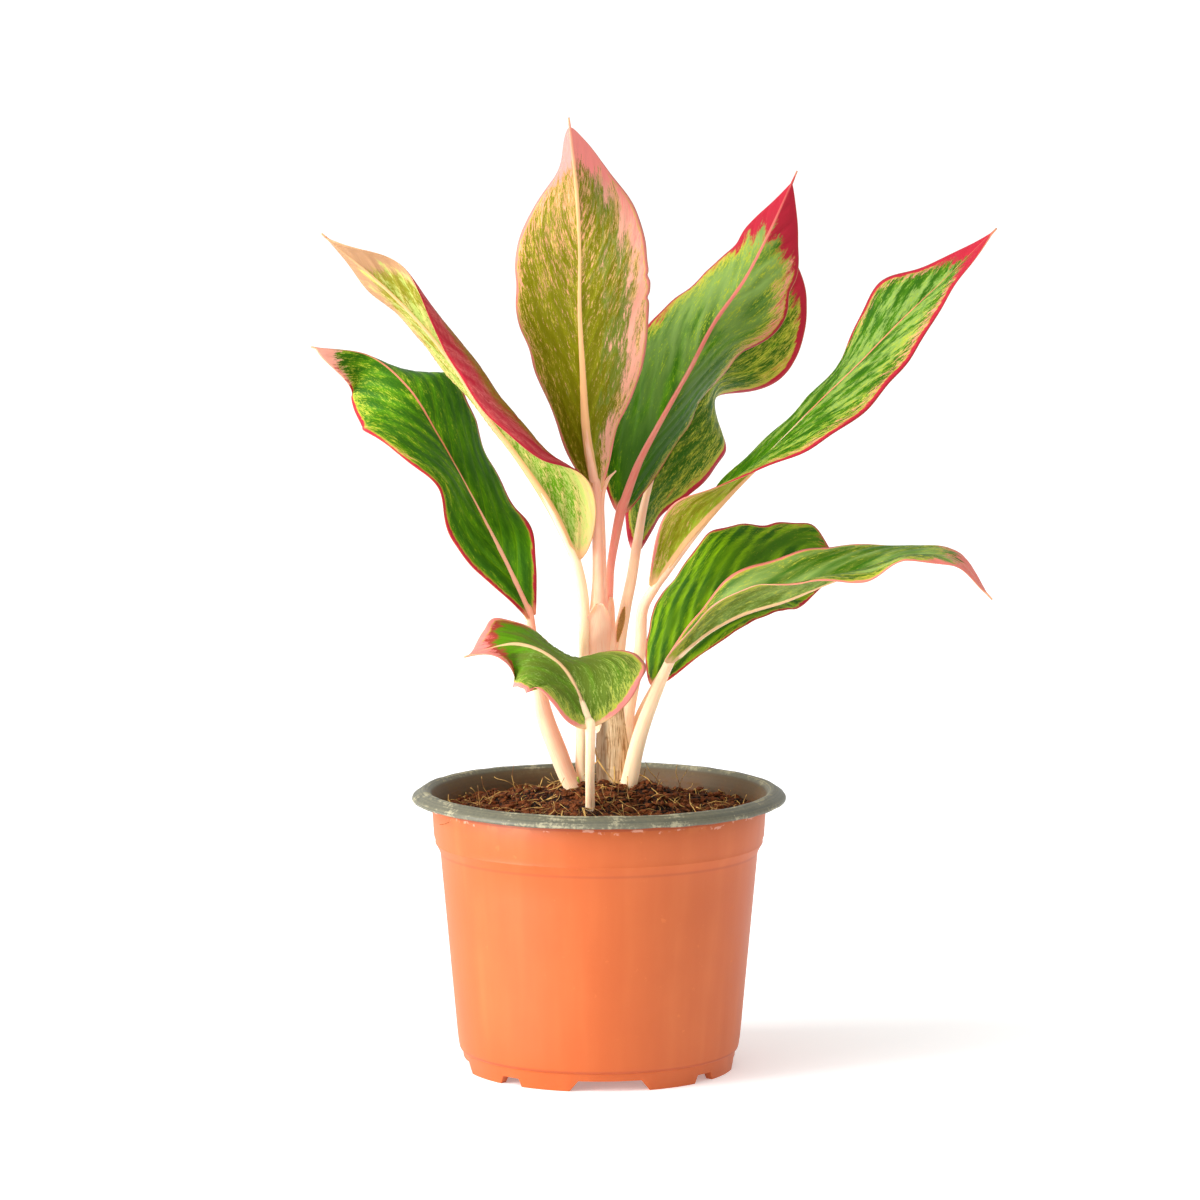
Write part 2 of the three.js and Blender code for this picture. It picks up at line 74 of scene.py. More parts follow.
BLADES = {
    "leaf_upright": blade_shape(
        (20.5, 21.5), 0.55, 3.0,
        (-1, -2, 186, 25, 25), (-4, -7, 205, 40, 30), (-5, -12, 225, 30, 5), (-6, -18, 244, 15, 5),
        (-6, -24, 264, 15, 0), (-7, -31, 283, 65, 42), (-9, -37, 302, 70, 65),
        curl=(20, 20), under_in_front=True,
        nicks=((1, 0.6, -0.7, 0.009), (1, 0.535, -0.6, 0.01), (0, 0.3, 0.6, 0.05)),
    ),
    "leaf_left": blade_shape(
        (20.5, 20), 0.58, 1.5,
        (-22, 10, 144, -60, 20), (-29, 9, 160, -40, 0), (-36, 8, 174, -44, 48), (-44, 9, 189, -68, 60),
        (-52, 11, 203, -50, 55), (-61, 16, 217, -10, 50), (-74, 24, 227, -10, 105),
        (-91, 19, 230, -40, 100),
    ),
    "leaf_left_twisted": blade_shape(
        (17, 24), 0.46, 3.0,
        (-7, -2, 164, 80, -20), (-15, -8, 181, 85, -20), (-25, -12, 197, 85, -68), (-36, -16, 212, 85, -84),
        (-46, -19, 228, 72, -88), (-57, -23, 242, 72, -78), (-70, -26, 255, 58, -40),
        (-84, -29, 267, 70, -60),
        curl=(25, -140), under_in_front=True,
    ),
    "leaf_back_right": blade_shape(
        (21, 22), 0.46, 5.0,
        (7, 6, 178, 40, 60), (13, 9, 194, 20, 60), (21, 11, 209, 25, 63), (29, 14, 223, 20, 65),
        (37, 18, 238, 43, 50), (47, 23, 252, 52, 5), (55, 27, 267, 48, 14), (62, 31, 282, 60, 20),
        nicks=((0, 0.8, -1.5, 0.03), (1, 0.74, -1.6, 0.03), (1, 0.45, 1.2, 0.05)),
    ),
    "leaf_behind": blade_shape(
        (20, 23), 0.54, 2.0,
        (12, 10, 166, 45, 60), (15, 20, 181, 60, 60), (20, 30, 195, 60, 28), (28, 38, 208, 55, 33),
        (37, 44, 221, 50, 70), (47, 50, 234, 50, 10), (55, 56, 248, 45, 0), (60, 61, 263, 50, 30),
    ),
    "leaf_right": blade_shape(
        (19, 21), 0.47, 2.5,
        (17, 0, 155, 80, -130), (29, -1, 171, 85, -150), (41, -2, 185, 80, -108), (55, -1, 199, 84, -80),
        (69, 1, 213, 86, -63), (83, 5, 226, 78, -60), (97, 8, 240, 42, -62), (111, 10, 253, 45, -74),
        (125, 10, 267, 70, -70),
        nicks=((0, 0.78, 3.2, 0.05), (1, 0.3, 1.2, 0.03)),
    ),
    "leaf_low_back": blade_shape(
        (21, 21), 0.5, 1.5,
        (18, 10, 122, 60, -50), (25, 19, 133, 60, -55), (33, 28, 142, 55, -55), (43, 39, 150, 55, -50),
        (55, 51, 155, 35, -46), (69, 63, 157, 40, -60), (81, 70, 151, 50, -60),
        nicks=((0, 0.62, 1.6, 0.03), (0, 0.75, -1.6, 0.03), (0, 0.87, 2.4, 0.03)),
    ),
    "leaf_low_right": blade_shape(
        (17, 17), 0.53, 3.0,
        (22, 0, 131, 60, -120), (33, -6, 141, 55, -115), (45, -11, 148, 30, -125), (59, -16, 153, 45, -120),
        (72, -21, 159, 60, -104), (85, -25, 164, 75, -85), (98, -28, 168, 85, -90),
        (112, -31, 167, 80, -80), (121, -33, 157, 80, -80),
    ),
    "leaf_front": blade_shape(
        (18, 26), 0.38, 1.5,
        (-3, -33, 114, -50, 10), (-6, -30, 122, -58, 8), (-9, -26, 128, -50, 33), (-13, -24, 133, -50, 80),
        (-19, -22, 137, -42, 88), (-26, -21, 139, -24, 74), (-33, -22, 138, -62, 56),
        (-41, -25, 136, -90, 80),
        under_in_front=True,
        nicks=((0, 0.74, 2.0, 0.05), (1, 0.79, 2.2, 0.045)),
    ),
}
FULLNESS = 1.7
NECK_HALF_WIDTH = 1.6
TIP_HALF_WIDTH = 0.45
ACROSS_STEPS = 28
ALONG_STEPS = 128
DRIP_STEPS = 6

# How far a side vein runs towards the tip for each millimetre out, and how that grows near the margin.
VEIN_SLANT, VEIN_BEND = 2.0, 0.03

# The height and the length of the waves of a margin.
RIPPLE_HEIGHT, RIPPLE_LENGTH = 0.45, 3.4 * math.tau


def stalk_shape(leaf, flush, *rows, solid="main_stem"):
    """A stalk: the blade it carries, its pink at foot and top, its rows and the solid it stands for.

    A row is x, y, z, radius across and radius front to back.
    """
    return {"leaf": leaf, "flush": flush, "rows": rows, "solid": solid}


STALKS = {
    "stalk_left": stalk_shape(
        "leaf_left", (0.4, 0.8),
        (3, 10, 78, 2.4, 2.2), (-6, 9, 86, 2.8, 2.6), (-10, 9, 92, 2.9, 2.6), (-13.5, 9, 101, 3, 2.4),
        (-17.5, 9, 112, 2.8, 2.2), (-20.3, 9.5, 126, 2, 1.8), (-20.7, 10.1, 140.2, 1.6, 1.5),
        (-21.9, 10, 143.6, 1.5, 1.5),
    ),
    "stalk_left_twisted": stalk_shape(
        "leaf_left_twisted", (0.05, 0.1),
        (4, 10, 80, 2, 2), (-3, 11, 87, 2, 2), (-5.5, 11, 94, 2, 2), (-5.5, 10, 104, 2, 2),
        (-5.5, 8, 118, 1.9, 1.9), (-4.8, 4, 134, 1.7, 1.7), (-5.1, 1, 151, 1.8, 1.6),
        (-5.5, -0.8, 160.4, 2.2, 1.6), (-6.9, -1.9, 163.6, 2, 1.5),
    ),
    "stalk_upright": stalk_shape(
        "leaf_upright", (0.55, 0.65),
        (4, 9, 98, 2.8, 2.4), (1.5, 8, 112, 3.2, 2.6), (-0.3, 5, 133, 3.1, 2.2), (-0.2, 3, 146, 2.8, 2),
        (-0.3, 1, 160, 1.8, 1.7), (-0.4, -0.8, 180.5, 1.6, 1.6), (-1, -1.9, 185.6, 1.5, 1.5),
    ),
    "stalk_back_right": stalk_shape(
        "leaf_back_right", (0.3, 1.5),
        (4.5, 9.5, 98, 2.4, 2.2), (3, 8.5, 118, 2.2, 2), (2.4, 7, 134, 1.8, 1.8), (3.2, 6.5, 153, 1.4, 1.4),
        (4, 5.6, 163, 1.3, 1.3), (5.2, 4.9, 172.8, 1.3, 1.3), (6.9, 5.9, 177.6, 1.4, 1.4),
    ),
    "stalk_behind": stalk_shape(
        "leaf_behind", (0.0, 0.45),
        (5, 10, 96, 2.8, 2.6), (5, 10.5, 118, 2.8, 2.4), (6, 10, 134, 2.5, 2.2), (8.3, 10, 146.3, 1.9, 1.8),
        (10.3, 9.4, 156, 1.7, 1.7), (11.3, 7.8, 162.5, 1.6, 1.6), (11.9, 9.8, 165.6, 1.6, 1.6),
    ),
    "stalk_right": stalk_shape(
        "leaf_right", (0.1, 0.45),
        (5, 10, 94, 2.8, 2.6), (7.7, 9, 105, 2.6, 2.4), (9.9, 7.5, 117.5, 2.2, 2.1),
        (13.1, 4, 134, 1.9, 1.9), (13.8, 1.2, 147, 1.8, 1.8), (14.6, 0.2, 151.8, 1.8, 1.8),
        (16.7, 0, 154.6, 1.8, 1.7),
    ),
    "stalk_low_back": stalk_shape(
        "leaf_low_back", (0.3, 0.5),
        (5, 10, 84, 1.8, 1.8), (8, 12, 94, 1.7, 1.7), (10, 12, 102, 1.6, 1.6), (13.2, 10.4, 112, 1.5, 1.5),
        (16.2, 7.7, 119.2, 1.4, 1.4), (17.8, 9.7, 121.6, 1.4, 1.4),
    ),
    "stalk_low_right": stalk_shape(
        "leaf_low_right", (0.1, 0.15),
        (5, 10, 78, 2.4, 2.4), (9.4, 6, 90, 2.7, 2.5), (11.9, 4.2, 101.7, 2.5, 2.3),
        (15.4, 2.2, 113.3, 2.2, 2), (19.2, 1.5, 128.3, 1.8, 1.7), (21.6, 0.2, 130.6, 1.7, 1.6),
    ),
    "stalk_front": stalk_shape(
        "leaf_front", (0.03, 0.12),
        (-2.9, -21, 74, 1.9, 1.9), (-2.9, -22.5, 88, 1.5, 1.5), (-2.9, -28, 99, 1.45, 1.45),
        (-1.7, -34.3, 110.5, 1.5, 1.5), (-2.9, -33.1, 113.6, 1.5, 1.5),
        solid="front_stem",
    ),
    "furled_bract": stalk_shape(
        None, (0.9, 0.6),
        (2.2, 4, 140, 1.2, 1.2), (1.6, 2.4, 154, 1, 1), (1.2, 1.6, 170, 0.9, 0.9),
        (0.9, 1.2, 182, 0.8, 0.8), (2.4, 1.6, 188.5, 0.6, 0.6), (5.4, 1.8, 192, 0.2, 0.2),
    ),
}

# The height from which a stalk's pink goes over from its foot's to its top's.
FLUSH_FOOT = 90.0

# The cane's rows, the place that its dry flank is measured round, and the heights of its leaf scars.
CANE = [(4.4, 10, 60, 4.4, 4), (4.4, 10, 88, 5.3, 4.4), (4.4, 9, 107, 5.3, 4.4), (4, 8, 124, 3.2, 3)]
CANE_MIDDLE = (4.8, 9.0)
CANE_RINGS = (87.5, 95.0, 106.0)

# Each stalk runs on as its blade's raised midrib: share of the blade and radius.
RIB_RADII = ((0.0, 1.6), (0.04, 1.45), (0.09, 1.3), (0.16, 1.1), (0.25, 0.85), (0.36, 0.6), (0.48, 0.35))

# Papery leaf bases wrapped round a stalk: stalk, from, to (shares of its length), first angle, sweep, pink
# share. One without pink is dead and dry.
SHEATHS = {
    "sheath_upright": ("stalk_upright", 0.2, 0.55, 150, 230, 0.75),
    "sheath_centre": ("stalk_back_right", 0.1, 0.48, 180, 150, 0.6),
    "sheath_dry": ("stalk_behind", 0.36, 0.52, -100, 34, 0.0),
}
LOOSE_STRAND = [
    (-1.6, 2, 104, 0.25, 0.25), (-0.6, 1, 99.5, 0.25, 0.25), (1.6, 0, 96, 0.22, 0.22),
    (4, -0.6, 93, 0.2, 0.2), (6.5, -1, 89, 0.15, 0.15),
]
BUD = [(-7, 9, 87, 0.9, 0.8), (-7.2, 8.2, 90.2, 1.2, 1.0), (-6.8, 7.8, 92.4, 0.3, 0.3)]

# Pot outlines, radius and height.
SHELL_OUTSIDE = [
    (43.5, 0), (43.9, 5.4), (44.1, 5.75), (44.7, 6.0), (44.95, 6.5), (45.15, 7.6), (45.5, 10.0),
    (45.8, 13.0), (50.95, 69.6), (51.5, 71.0), (52.3, 72.4), (52.6, 72.9), (52.5, 73.5), (53.0, 75.2),
    (53.7, 86.0),
]
SHELL_INSIDE = [(52.9, 86.0), (52.0, 75.4), (50.1, 70.0), (44.5, 12.4), (42.2, 4.8), (0, 4.8)]
SHELL_FLOOR = [(0, 4), (40.3, 4), (41.1, 0)]
LINER_OUTSIDE = [(0, 5.1), (41.9, 5.1), (44.2, 12.4), (49.8, 70.0), (51.8, 75.4), (52.4, 85.2)]
RIM_SECTION = [
    (53.6, 88.0), (55.6, 88.5), (58.9, 87.5), (59.2, 86.7), (59.6, 86.3), (60.0, 86.6), (60.0, 87.3),
    (59.5, 88.0), (58.2, 88.9), (56.8, 89.8), (55.9, 90.0), (54.9, 89.7), (53.6, 88.4),
]
LINER_INSIDE = [(52.4, 86.4), (51.7, 84.0), (51.0, 75.4), (49.0, 70.0), (43.4, 12.4), (41.2, 5.9), (0, 5.9)]
SOIL_OUTSIDE = [(0, 7.5), (41.0, 7.5), (43.1, 12.4), (48.7, 70.0), (50.6, 75.4)]

# Steps round the pot and the soil, where the shell's frayed edge starts, and where the rim's waves start and
# how far above it they are full.
POT_STEPS, SOIL_STEPS = 180, 240
FRAYED_ABOVE = 85.5
WAVY_FROM, WAVY_RUN = 76.0, 9.0

# The soil's surface: its radius, its height before it is shaped, its rings, and how far out the crumbs lie,
# the strands start and the strands end.
SOIL_RADIUS, SOIL_TOP, SOIL_RINGS = 51.35, 82.0, 84
CRUMB_REACH, STRAND_REACH, STRAND_LIMIT = 50.4, 49.5, 50.0

# The mound's place and spread, and the smaller heaps: place, height, spread and stretch to the sides.
MOUND = (4, 7, 19)
HEAPS = ((19, 3, 3.6, 7, 1.0), (-22, 12, 3.0, 9, 1.6), (-2, -19, 4.6, 9, 1.0))

# The wide and the narrow drain notch: width, height and flare on each side. They take turns round the foot.
NOTCH_SIZES = ((20.0, 3.4, 3.0), (6.4, 2.6, 1.0))
NOTCH_REACH = (37.9, 45.9)
FIRST_NOTCH_DEG = -85.4
NOTCH_STEP_DEG = 45.5

CAMERA_PLACE = (0.3, -1630.0, 346.5)


# Settings


def hue(code):
    """A screen colour such as c9602f as linear red, green, blue."""
    values = [int(code[i : i + 2], 16) / 255 for i in (0, 2, 4)]
    return tuple(v / 12.92 if v <= 0.04045 else ((v + 0.055) / 1.055) ** 2.4 for v in values)


def colour(name, description, code):
    return bpy.props.FloatVectorProperty(
        name=name, description=description, default=hue(code), min=0.0, max=1.0, size=3, subtype="COLOR"
    )


def amount(name, description, default, least=0.0, **more):
    return bpy.props.FloatProperty(name=name, description=description, default=default, min=least, **more)


def length(name, description, millimetres):
    return amount(name, description, millimetres * MM, unit="LENGTH", subtype="DISTANCE")


def count(name, description, default):
    return bpy.props.IntProperty(name=name, description=description, default=default, min=0)


class PotSettings(bpy.types.PropertyGroup):
    shell: colour("Shell", "Orange skin of the pot", "bd5408")
    shell_light: colour("Shell worn", "Rubbed and scuffed places of the orange skin", "dd7a3a")
    liner: colour("Liner", "Dark inner skin and rim", "565648")
    dust: colour("Dust", "Dried potting dust on the rim", "c0b796")
    rim_wobble: length("Rim wobble", "How far the thin rim waves up and down", 0.35)
    edge_bevel: length("Edge bevel", "Rounding of the moulded edges", 0.25)


class SoilSettings(bpy.types.PropertyGroup):
    dark: colour("Dark soil", "Moist peat", "1c0d05")
    red: colour("Red soil", "Coir dust and bark", "7d4019")
    fibre: colour("Fibre", "Dry coir strands", "e6b765")
    level: length("Level", "Height of the soil at the wall", 82.4)
    mound: length("Mound", "How far the soil rises round the stems", 7.6)
    crumbs: count("Crumbs", "Loose crumbs on the surface, doubled up to at least this many", 7000)
    fibres: count("Fibres", "Loose coir strands", 380)
    seed: count("Seed", "Another seed scatters them otherwise", 11)


class StalkSettings(bpy.types.PropertyGroup):
    cream: colour("Cream", "Pale skin of the stalks", "fadcb6")
    pink: colour("Pink", "Flushed skin", "f2a88e")
    cane: colour("Cane", "Skin of the old stem", "cc9c6c")
    bark: colour("Dry flank", "Dead brown leaf bases on the cane", "4c2c14")
    sheath: length("Sheath", "Thickness of the papery leaf bases", 0.22)


class BladeSettings(bpy.types.PropertyGroup):
    deep: colour("Deep green", "Shaded green of the upper face", "2c5a08")
    green: colour("Green", "Green of the upper face", "558a08")
    fresh: colour("Fresh green", "Brighter green of mottles and side veins", "80aa10")
    # As clouds and blotches on the upper faces of leaf_back_right, leaf_right and leaf_low_right this is a
    # painted sheen; elsewhere it is the blade's grey-green tone.
    sheen: colour("Grey green", "Silvery green", "86a052")
    moss: colour("Moss", "Muted green", "5d7022")
    olive: colour("Olive", "Green of the underside", "7d7c08")
    dark_olive: colour("Dark olive", "Darker green of the underside", "6a6804")
    lime: colour("Lime", "Yellow-green mottling", "b2b03a")
    straw: colour("Straw", "Pale yellow mottling", "d8ba50")
    peach: colour("Peach", "Pale mottling of the underside and the thin edge", "e6ae7a")
    pale: colour("Pale green", "Yellow-green underside", "a6b45c")
    tan: colour("Tan", "Shaded peach", "ae8460")
    coral: colour("Coral", "Red-pink midribs and margins", "dc7a6c")
    blush: colour("Blush", "Palest pink", "eaa28e")
    rose: colour("Rose", "Soft pink", "e5857c")
    crimson: colour("Crimson", "Red of margins and tips", "aa2434")
    salmon: colour("Salmon", "Midribs and streaks", "e0896a")
    cream: colour("Cream", "Palest midribs", "e2b888")
    thickness: length("Thickness", "Thickness of a blade", 0.6)
    rib: length("Midrib", "How far the midrib stands out below", 1.5)
    quilting: length("Quilting", "Height of the swellings between the veins", 0.24)
    vein_gap: length("Vein gap", "Distance between side veins along the midrib", 11.0)


class StageSettings(bpy.types.PropertyGroup):
    floor: colour("Floor", "Pale floor", "fdfdfd")
    sky: amount("Sky", "Strength of the even light", 0.72)
    key: amount("Key", "Power of the tall soft lamp", 60.0, unit="POWER")
    low: amount("Low lamp", "Power of the low lamp", 11.0, unit="POWER")
    sun: amount("Sun", "Strength of the wide soft sun", 0.55)
    glow: amount("Glow", "Light that the floor gives back", 0.26)
    lens: amount("Lens", "Focal length in mm", 154.2, least=10.0)
    pitch: amount("Pitch", "How far the camera looks down", math.radians(6.85), subtype="ANGLE")


class EvergreenSettings(bpy.types.PropertyGroup):
    pot: bpy.props.PointerProperty(type=PotSettings)
    soil: bpy.props.PointerProperty(type=SoilSettings)
    stalks: bpy.props.PointerProperty(type=StalkSettings)
    blades: bpy.props.PointerProperty(type=BladeSettings)
    stage: bpy.props.PointerProperty(type=StageSettings)


# Finishes


class Wire:
    """An output of a node. Arithmetic on it adds Math nodes to the same finish."""

    def __init__(self, finish, socket):
        self.finish = finish
        self.socket = socket

    def maths(self, operation, *terms):
        return self.finish.add("Math", {"operation": operation}, dict(enumerate(terms)))

    def __add__(self, other):
        return self.maths("ADD", self, other)

    def __sub__(self, other):
        return self.maths("SUBTRACT", self, other)

    def __rsub__(self, other):
        return self.maths("SUBTRACT", other, self)

    def __mul__(self, other):
        return self.maths("MULTIPLY", self, other)

    def __abs__(self):
        return self.maths("ABSOLUTE", self)

    __radd__ = __add__
    __rmul__ = __mul__


class Finish:
    """A procedural material, or the sky, under construction. Its base is the colour laid on so far."""

    def __init__(self, name, settings=None, kind="materials"):
        self.settings = settings
        self.data = getattr(bpy.data, kind).new(name)
        self.data.use_nodes = True
        self.tree = self.data.node_tree
        self.tree.nodes.clear()
        self.base = None

    def add(self, kind, settings=None, inputs=None, output=0):
        """A node with its settings and its sockets' values or wires. A colour may be a name or a code."""
        node = self.tree.nodes.new("ShaderNode" + kind)
        for key, value in (settings or {}).items():
            setattr(node, key, value)
        for key, value in (inputs or {}).items():
            socket = node.inputs[key]
            if isinstance(value, Wire):
                self.tree.links.new(value.socket, socket)
            elif socket.type == "RGBA":
                if isinstance(value, str):
                    value = getattr(self.settings, value) if hasattr(self.settings, value) else hue(value)
                socket.default_value = (*value[:3], 1.0)
            else:
                socket.default_value = value
        return Wire(self, node.outputs[output]) if node.outputs else None

    def attribute(self, name, output="Fac"):
        return self.add("Attribute", {"attribute_name": name}, output=output)

    def place(self):
        return self.add("TexCoord", output="Object")

    def height(self):
        return self.add("SeparateXYZ", inputs={0: self.place()}, output=2)

    def vector(self, operation, *terms, output=0):
        return self.add("VectorMath", {"operation": operation}, dict(enumerate(terms)), output)

    def noise(self, scale, detail=3.0, roughness=0.5, on=None):
        """Noise of one scale, or of three for its axes, on the object's own place or another vector."""
        place = on or self.place()
        if isinstance(scale, tuple):
            place, scale = self.vector("MULTIPLY", place, scale), 1.0
        inputs = {"Vector": place, "Scale": scale, "Detail": detail, "Roughness": roughness}
        return self.add("TexNoise", inputs=inputs)

    def smooth(self, value, low, high):
        """0 at low, 1 at high, and a smooth step between them."""
        inputs = {"Value": value, "From Min": low, "From Max": high}
        return self.add("MapRange", {"interpolation_type": "SMOOTHSTEP"}, inputs)

    def mix(self, share, first, second):
        return self.add("Mix", {"data_type": "RGBA"}, {0: share, 6: first, 7: second}, output=2)

    def coat(self, share, colour):
        """Lays a colour over the base by its share."""
        self.base = self.mix(share, self.base, colour)

    def bump(self, height, distance, strength=1.0):
        return self.add("Bump", inputs={"Height": height, "Distance": distance, "Strength": strength})

    def surface(self, roughness, normal=None, glow=0.0, ior=1.5, specular=0.5, subsurface=()):
        """Ends the finish with a shader on its base. The subsurface is its weight, radii and scale, and a
        glow gives the base out as painted light.
        """
        inputs = {"Base Color": self.base, "Roughness": roughness, "IOR": ior, "Specular IOR Level": specular}
        inputs |= dict(zip(("Subsurface Weight", "Subsurface Radius", "Subsurface Scale"), subsurface))
        if normal:
            inputs["Normal"] = normal
        if glow:
            inputs |= {"Emission Color": self.base, "Emission Strength": glow}
        self.add("OutputMaterial", inputs={"Surface": self.add("BsdfPrincipled", inputs=inputs)})
        return self.data


def shell_finish(settings):
    """Thin orange plastic: satin skin, faint streaks, scuffs, painted shade in its creases and under the rim,
    a rubbed top edge.
    """
    finish = Finish("shell_plastic", settings)
    height = finish.height()
    chip_line, shoulder_line, hem_line = 0.084, 0.0697, 0.0063
    cloud = finish.noise(28.0)
    drawn = finish.noise((160.0, 160.0, 9.0), 2.0)
    scuff = finish.smooth(finish.noise(300.0, 4.0, 0.65), 0.64, 0.74)
    rubbed = finish.smooth(height, 0.0815, 0.0855) * finish.smooth(finish.noise(120.0), 0.53, 0.6)
    worn = scuff * 0.2 + (cloud - 0.5) * 0.5 + (drawn - 0.5) * 0.35 + 0.12
    finish.base = finish.mix(finish.smooth(worn, 0.0, 0.6) * 0.6 + rubbed * 0.4, "shell", "shell_light")
    # Painted shade: the strip under the rim's overhang is laid darker red.
    finish.coat(finish.smooth(height, 0.0842, 0.0848) * 0.55, "9c3410")
    off_line = abs(height - chip_line + (finish.noise((90.0, 90.0, 20.0), 3.0, 0.6) - 0.5) * 0.005)
    chips = finish.smooth(off_line, 0.0006, 0.0002) * finish.smooth(finish.noise(95.0, 4.0, 0.7), 0.52, 0.57)
    finish.coat(chips * 0.5, "f3bfa8")
    # Painted shade: dark lines in the groove under the shoulder band and in the crease above the foot.
    shoulder = finish.smooth(abs(height - shoulder_line), 0.0007, 0.0001) * 0.35
    hem = finish.smooth(abs(height - hem_line), 0.0007, 0.0001) * 0.45
    finish.coat(shoulder + hem, "9a3408")
    relief = finish.bump(finish.noise(1100.0, 2.0) * 0.06 + finish.noise((24.0, 24.0, 8.0), 1.0), 0.0008, 0.5)
    rough = 0.44 + scuff * 0.1 + cloud * 0.1
    return finish.surface(rough, relief, specular=0.6, subsurface=(0.08, (1.0, 0.3, 0.1), 0.001))


def liner_finish(settings):
    """Dark grey-green plastic, drawn in fine rings, with dried potting dust on the rim and inside."""
    finish = Finish("liner_plastic", settings)
    height = finish.height()
    across = finish.vector("MULTIPLY", finish.vector("ADD", finish.place(), tuple(-POT_AXIS * MM)), (1, 1, 0))
    radius = finish.vector("LENGTH", across, output=1)
    section = finish.add("CombineXYZ", inputs={"X": radius * 1500.0, "Y": height * 1500.0})
    rings = finish.noise(1.0, 2.0, on=section)
    cloud = finish.noise(120.0, 4.0, 0.65)
    fine = finish.noise(900.0, 3.0, 0.7)
    lip = finish.smooth(height, 0.0893, 0.09)
    hem = finish.smooth(height, 0.0872, 0.0866) * finish.smooth(radius, 0.0588, 0.0594)
    powder = cloud * 0.6 + fine * 0.4 + lip * 0.07 + hem * 0.05 + (rings - 0.5) * 0.3
    dusty = finish.smooth(powder, 0.53, 0.66)
    crust = finish.smooth(cloud + fine * 0.4, 0.6, 0.76) * finish.smooth(height, 0.0885, 0.083)
    crust = crust * finish.smooth(radius, 0.0545, 0.053)
    finish.base = finish.mix(finish.smooth(rings * 0.6 + fine * 0.4, 0.35, 0.65), "liner", "6f6b56")
    inside = finish.smooth(radius, 0.0548, 0.0536) * finish.smooth(height, 0.0896, 0.088)
    finish.coat(inside * 0.8, "5e4322")
    finish.coat(dusty * (0.6 - inside * 0.5), "dust")
    finish.coat(crust * 0.8, "6f4a28")
    relief = finish.bump(rings * 0.7 + fine * 0.3, 0.00025, 0.6)
    return finish.surface(0.42 + dusty * 0.35 + inside * 0.25, relief, ior=1.46)


def soil_finish(settings, name, lift):
    """Moist peat with coir dust: dark peat, laid in the hollows as painted shade, red-brown crumbs, pale
    specks.
    """
    finish = Finish(name, settings)
    crumb = finish.noise(420.0, 5.0, 0.7)
    # Painted shade: the dark peat takes the low places of the crumb relief. Lift shifts the share towards
    # red, and the bed gets less than the crumbs on it.
    share = finish.smooth(crumb * 0.8 + finish.noise(70.0) * 0.35 + lift, 0.45, 0.68)
    finish.base = finish.mix(share, "dark", "red")
    finish.coat(finish.smooth(finish.noise(1400.0, 2.0), 0.68, 0.76) * 0.55, "fibre")
    relief = finish.bump(crumb + finish.noise(1500.0, 2.0) * 0.4, 0.0012, 0.9)
    return finish.surface(0.8 + crumb * 0.2, relief, ior=1.35)


def fibre_finish(settings):
    """Dry coir strands, from straw to brown."""
    finish = Finish("coir_strands", settings)
    shade = finish.noise(300.0, 2.0)
    finish.base = finish.mix(finish.smooth(shade, 0.35, 0.65), "fibre", "7a4a22")
    return finish.surface(0.6 + shade * 0.2, ior=1.45)


def stalk_finish(settings):
    """Juicy stalk skin: cream with a pink flush, fine lengthwise lines, browner at the soil, and a faint
    painted glow.
    """
    finish = Finish("stalk_skin", settings)
    # The flush is pinker on the side away from the key lamp, which is painted shade.
    flush = finish.attribute("flush")
    lines = finish.noise((3.5, 0.12, 3.5), on=finish.attribute("run", "Vector"))
    cloud = finish.noise(130.0, 2.0)
    pink = finish.smooth(flush + (cloud - 0.5) * 0.5 + (lines - 0.5) * 0.35, 0.05, 0.95)
    finish.base = finish.mix(pink, "cream", "pink")
    finish.coat(finish.smooth(flush, 0.95, 1.5), "dc7a6c")
    finish.coat(finish.smooth(lines + flush * 0.1, 0.6, 0.78) * flush * 0.6, "d47c70")
    finish.coat(finish.smooth(lines, 0.4, 0.72) * 0.3, "eebf92")
    soiled = finish.smooth(finish.height() + (cloud - 0.5) * 0.008, 0.091, 0.087)
    finish.coat(soiled * finish.smooth(lines, 0.35, 0.65) * 0.6, "a87a50")
    relief = finish.bump(lines * 0.7 + cloud * 0.3, 0.00012, 0.5)
    juicy = {"ior": 1.42, "specular": 0.3, "subsurface": (0.5, (1.0, 0.6, 0.4), 0.0022)}
    # Painted light: the skin glows faintly in its own colour, lifting its shaded side.
    return finish.surface(0.38 + cloud * 0.2, relief, 0.13, **juicy)


def cane_finish(settings):
    """Old stem: beige skin with lengthwise lines, leaf-scar rings, a dark dry flank and a faint painted glow.
    """
    finish = Finish("cane_skin", settings)
    lines = finish.noise((1.8, 0.12, 1.8), 4.0, 0.65, on=finish.attribute("run", "Vector"))
    cloud = finish.noise(160.0, 3.0, 0.6)
    scar = finish.attribute("scar")
    finish.base = finish.mix(finish.smooth(lines, 0.3, 0.7), "cane", "f2d6ac")
    finish.coat(finish.smooth(cloud, 0.45, 0.75) * 0.4, "b98a5e")
    finish.coat(finish.smooth(lines, 0.5, 0.38) * 0.55, "86582e")
    finish.coat(finish.smooth(scar + (lines - 0.5) * 0.7, 0.1, 0.9) * 0.8, "bark")
    relief = finish.bump(lines + cloud * 0.5 + scar, 0.0006, 0.8)
    # Painted light: a faint glow in the skin's own colour.
    return finish.surface(0.6 + cloud * 0.2, relief, 0.04, ior=1.42, specular=0.3)


def bud_finish():
    """A tiny fresh shoot."""
    finish = Finish("bud_skin")
    cloud = finish.noise(900.0, 2.0)
    finish.base = finish.mix(finish.smooth(cloud, 0.4, 0.6), "8fb41c", "c8cf5a")
    return finish.surface(0.5 + cloud * 0.1)


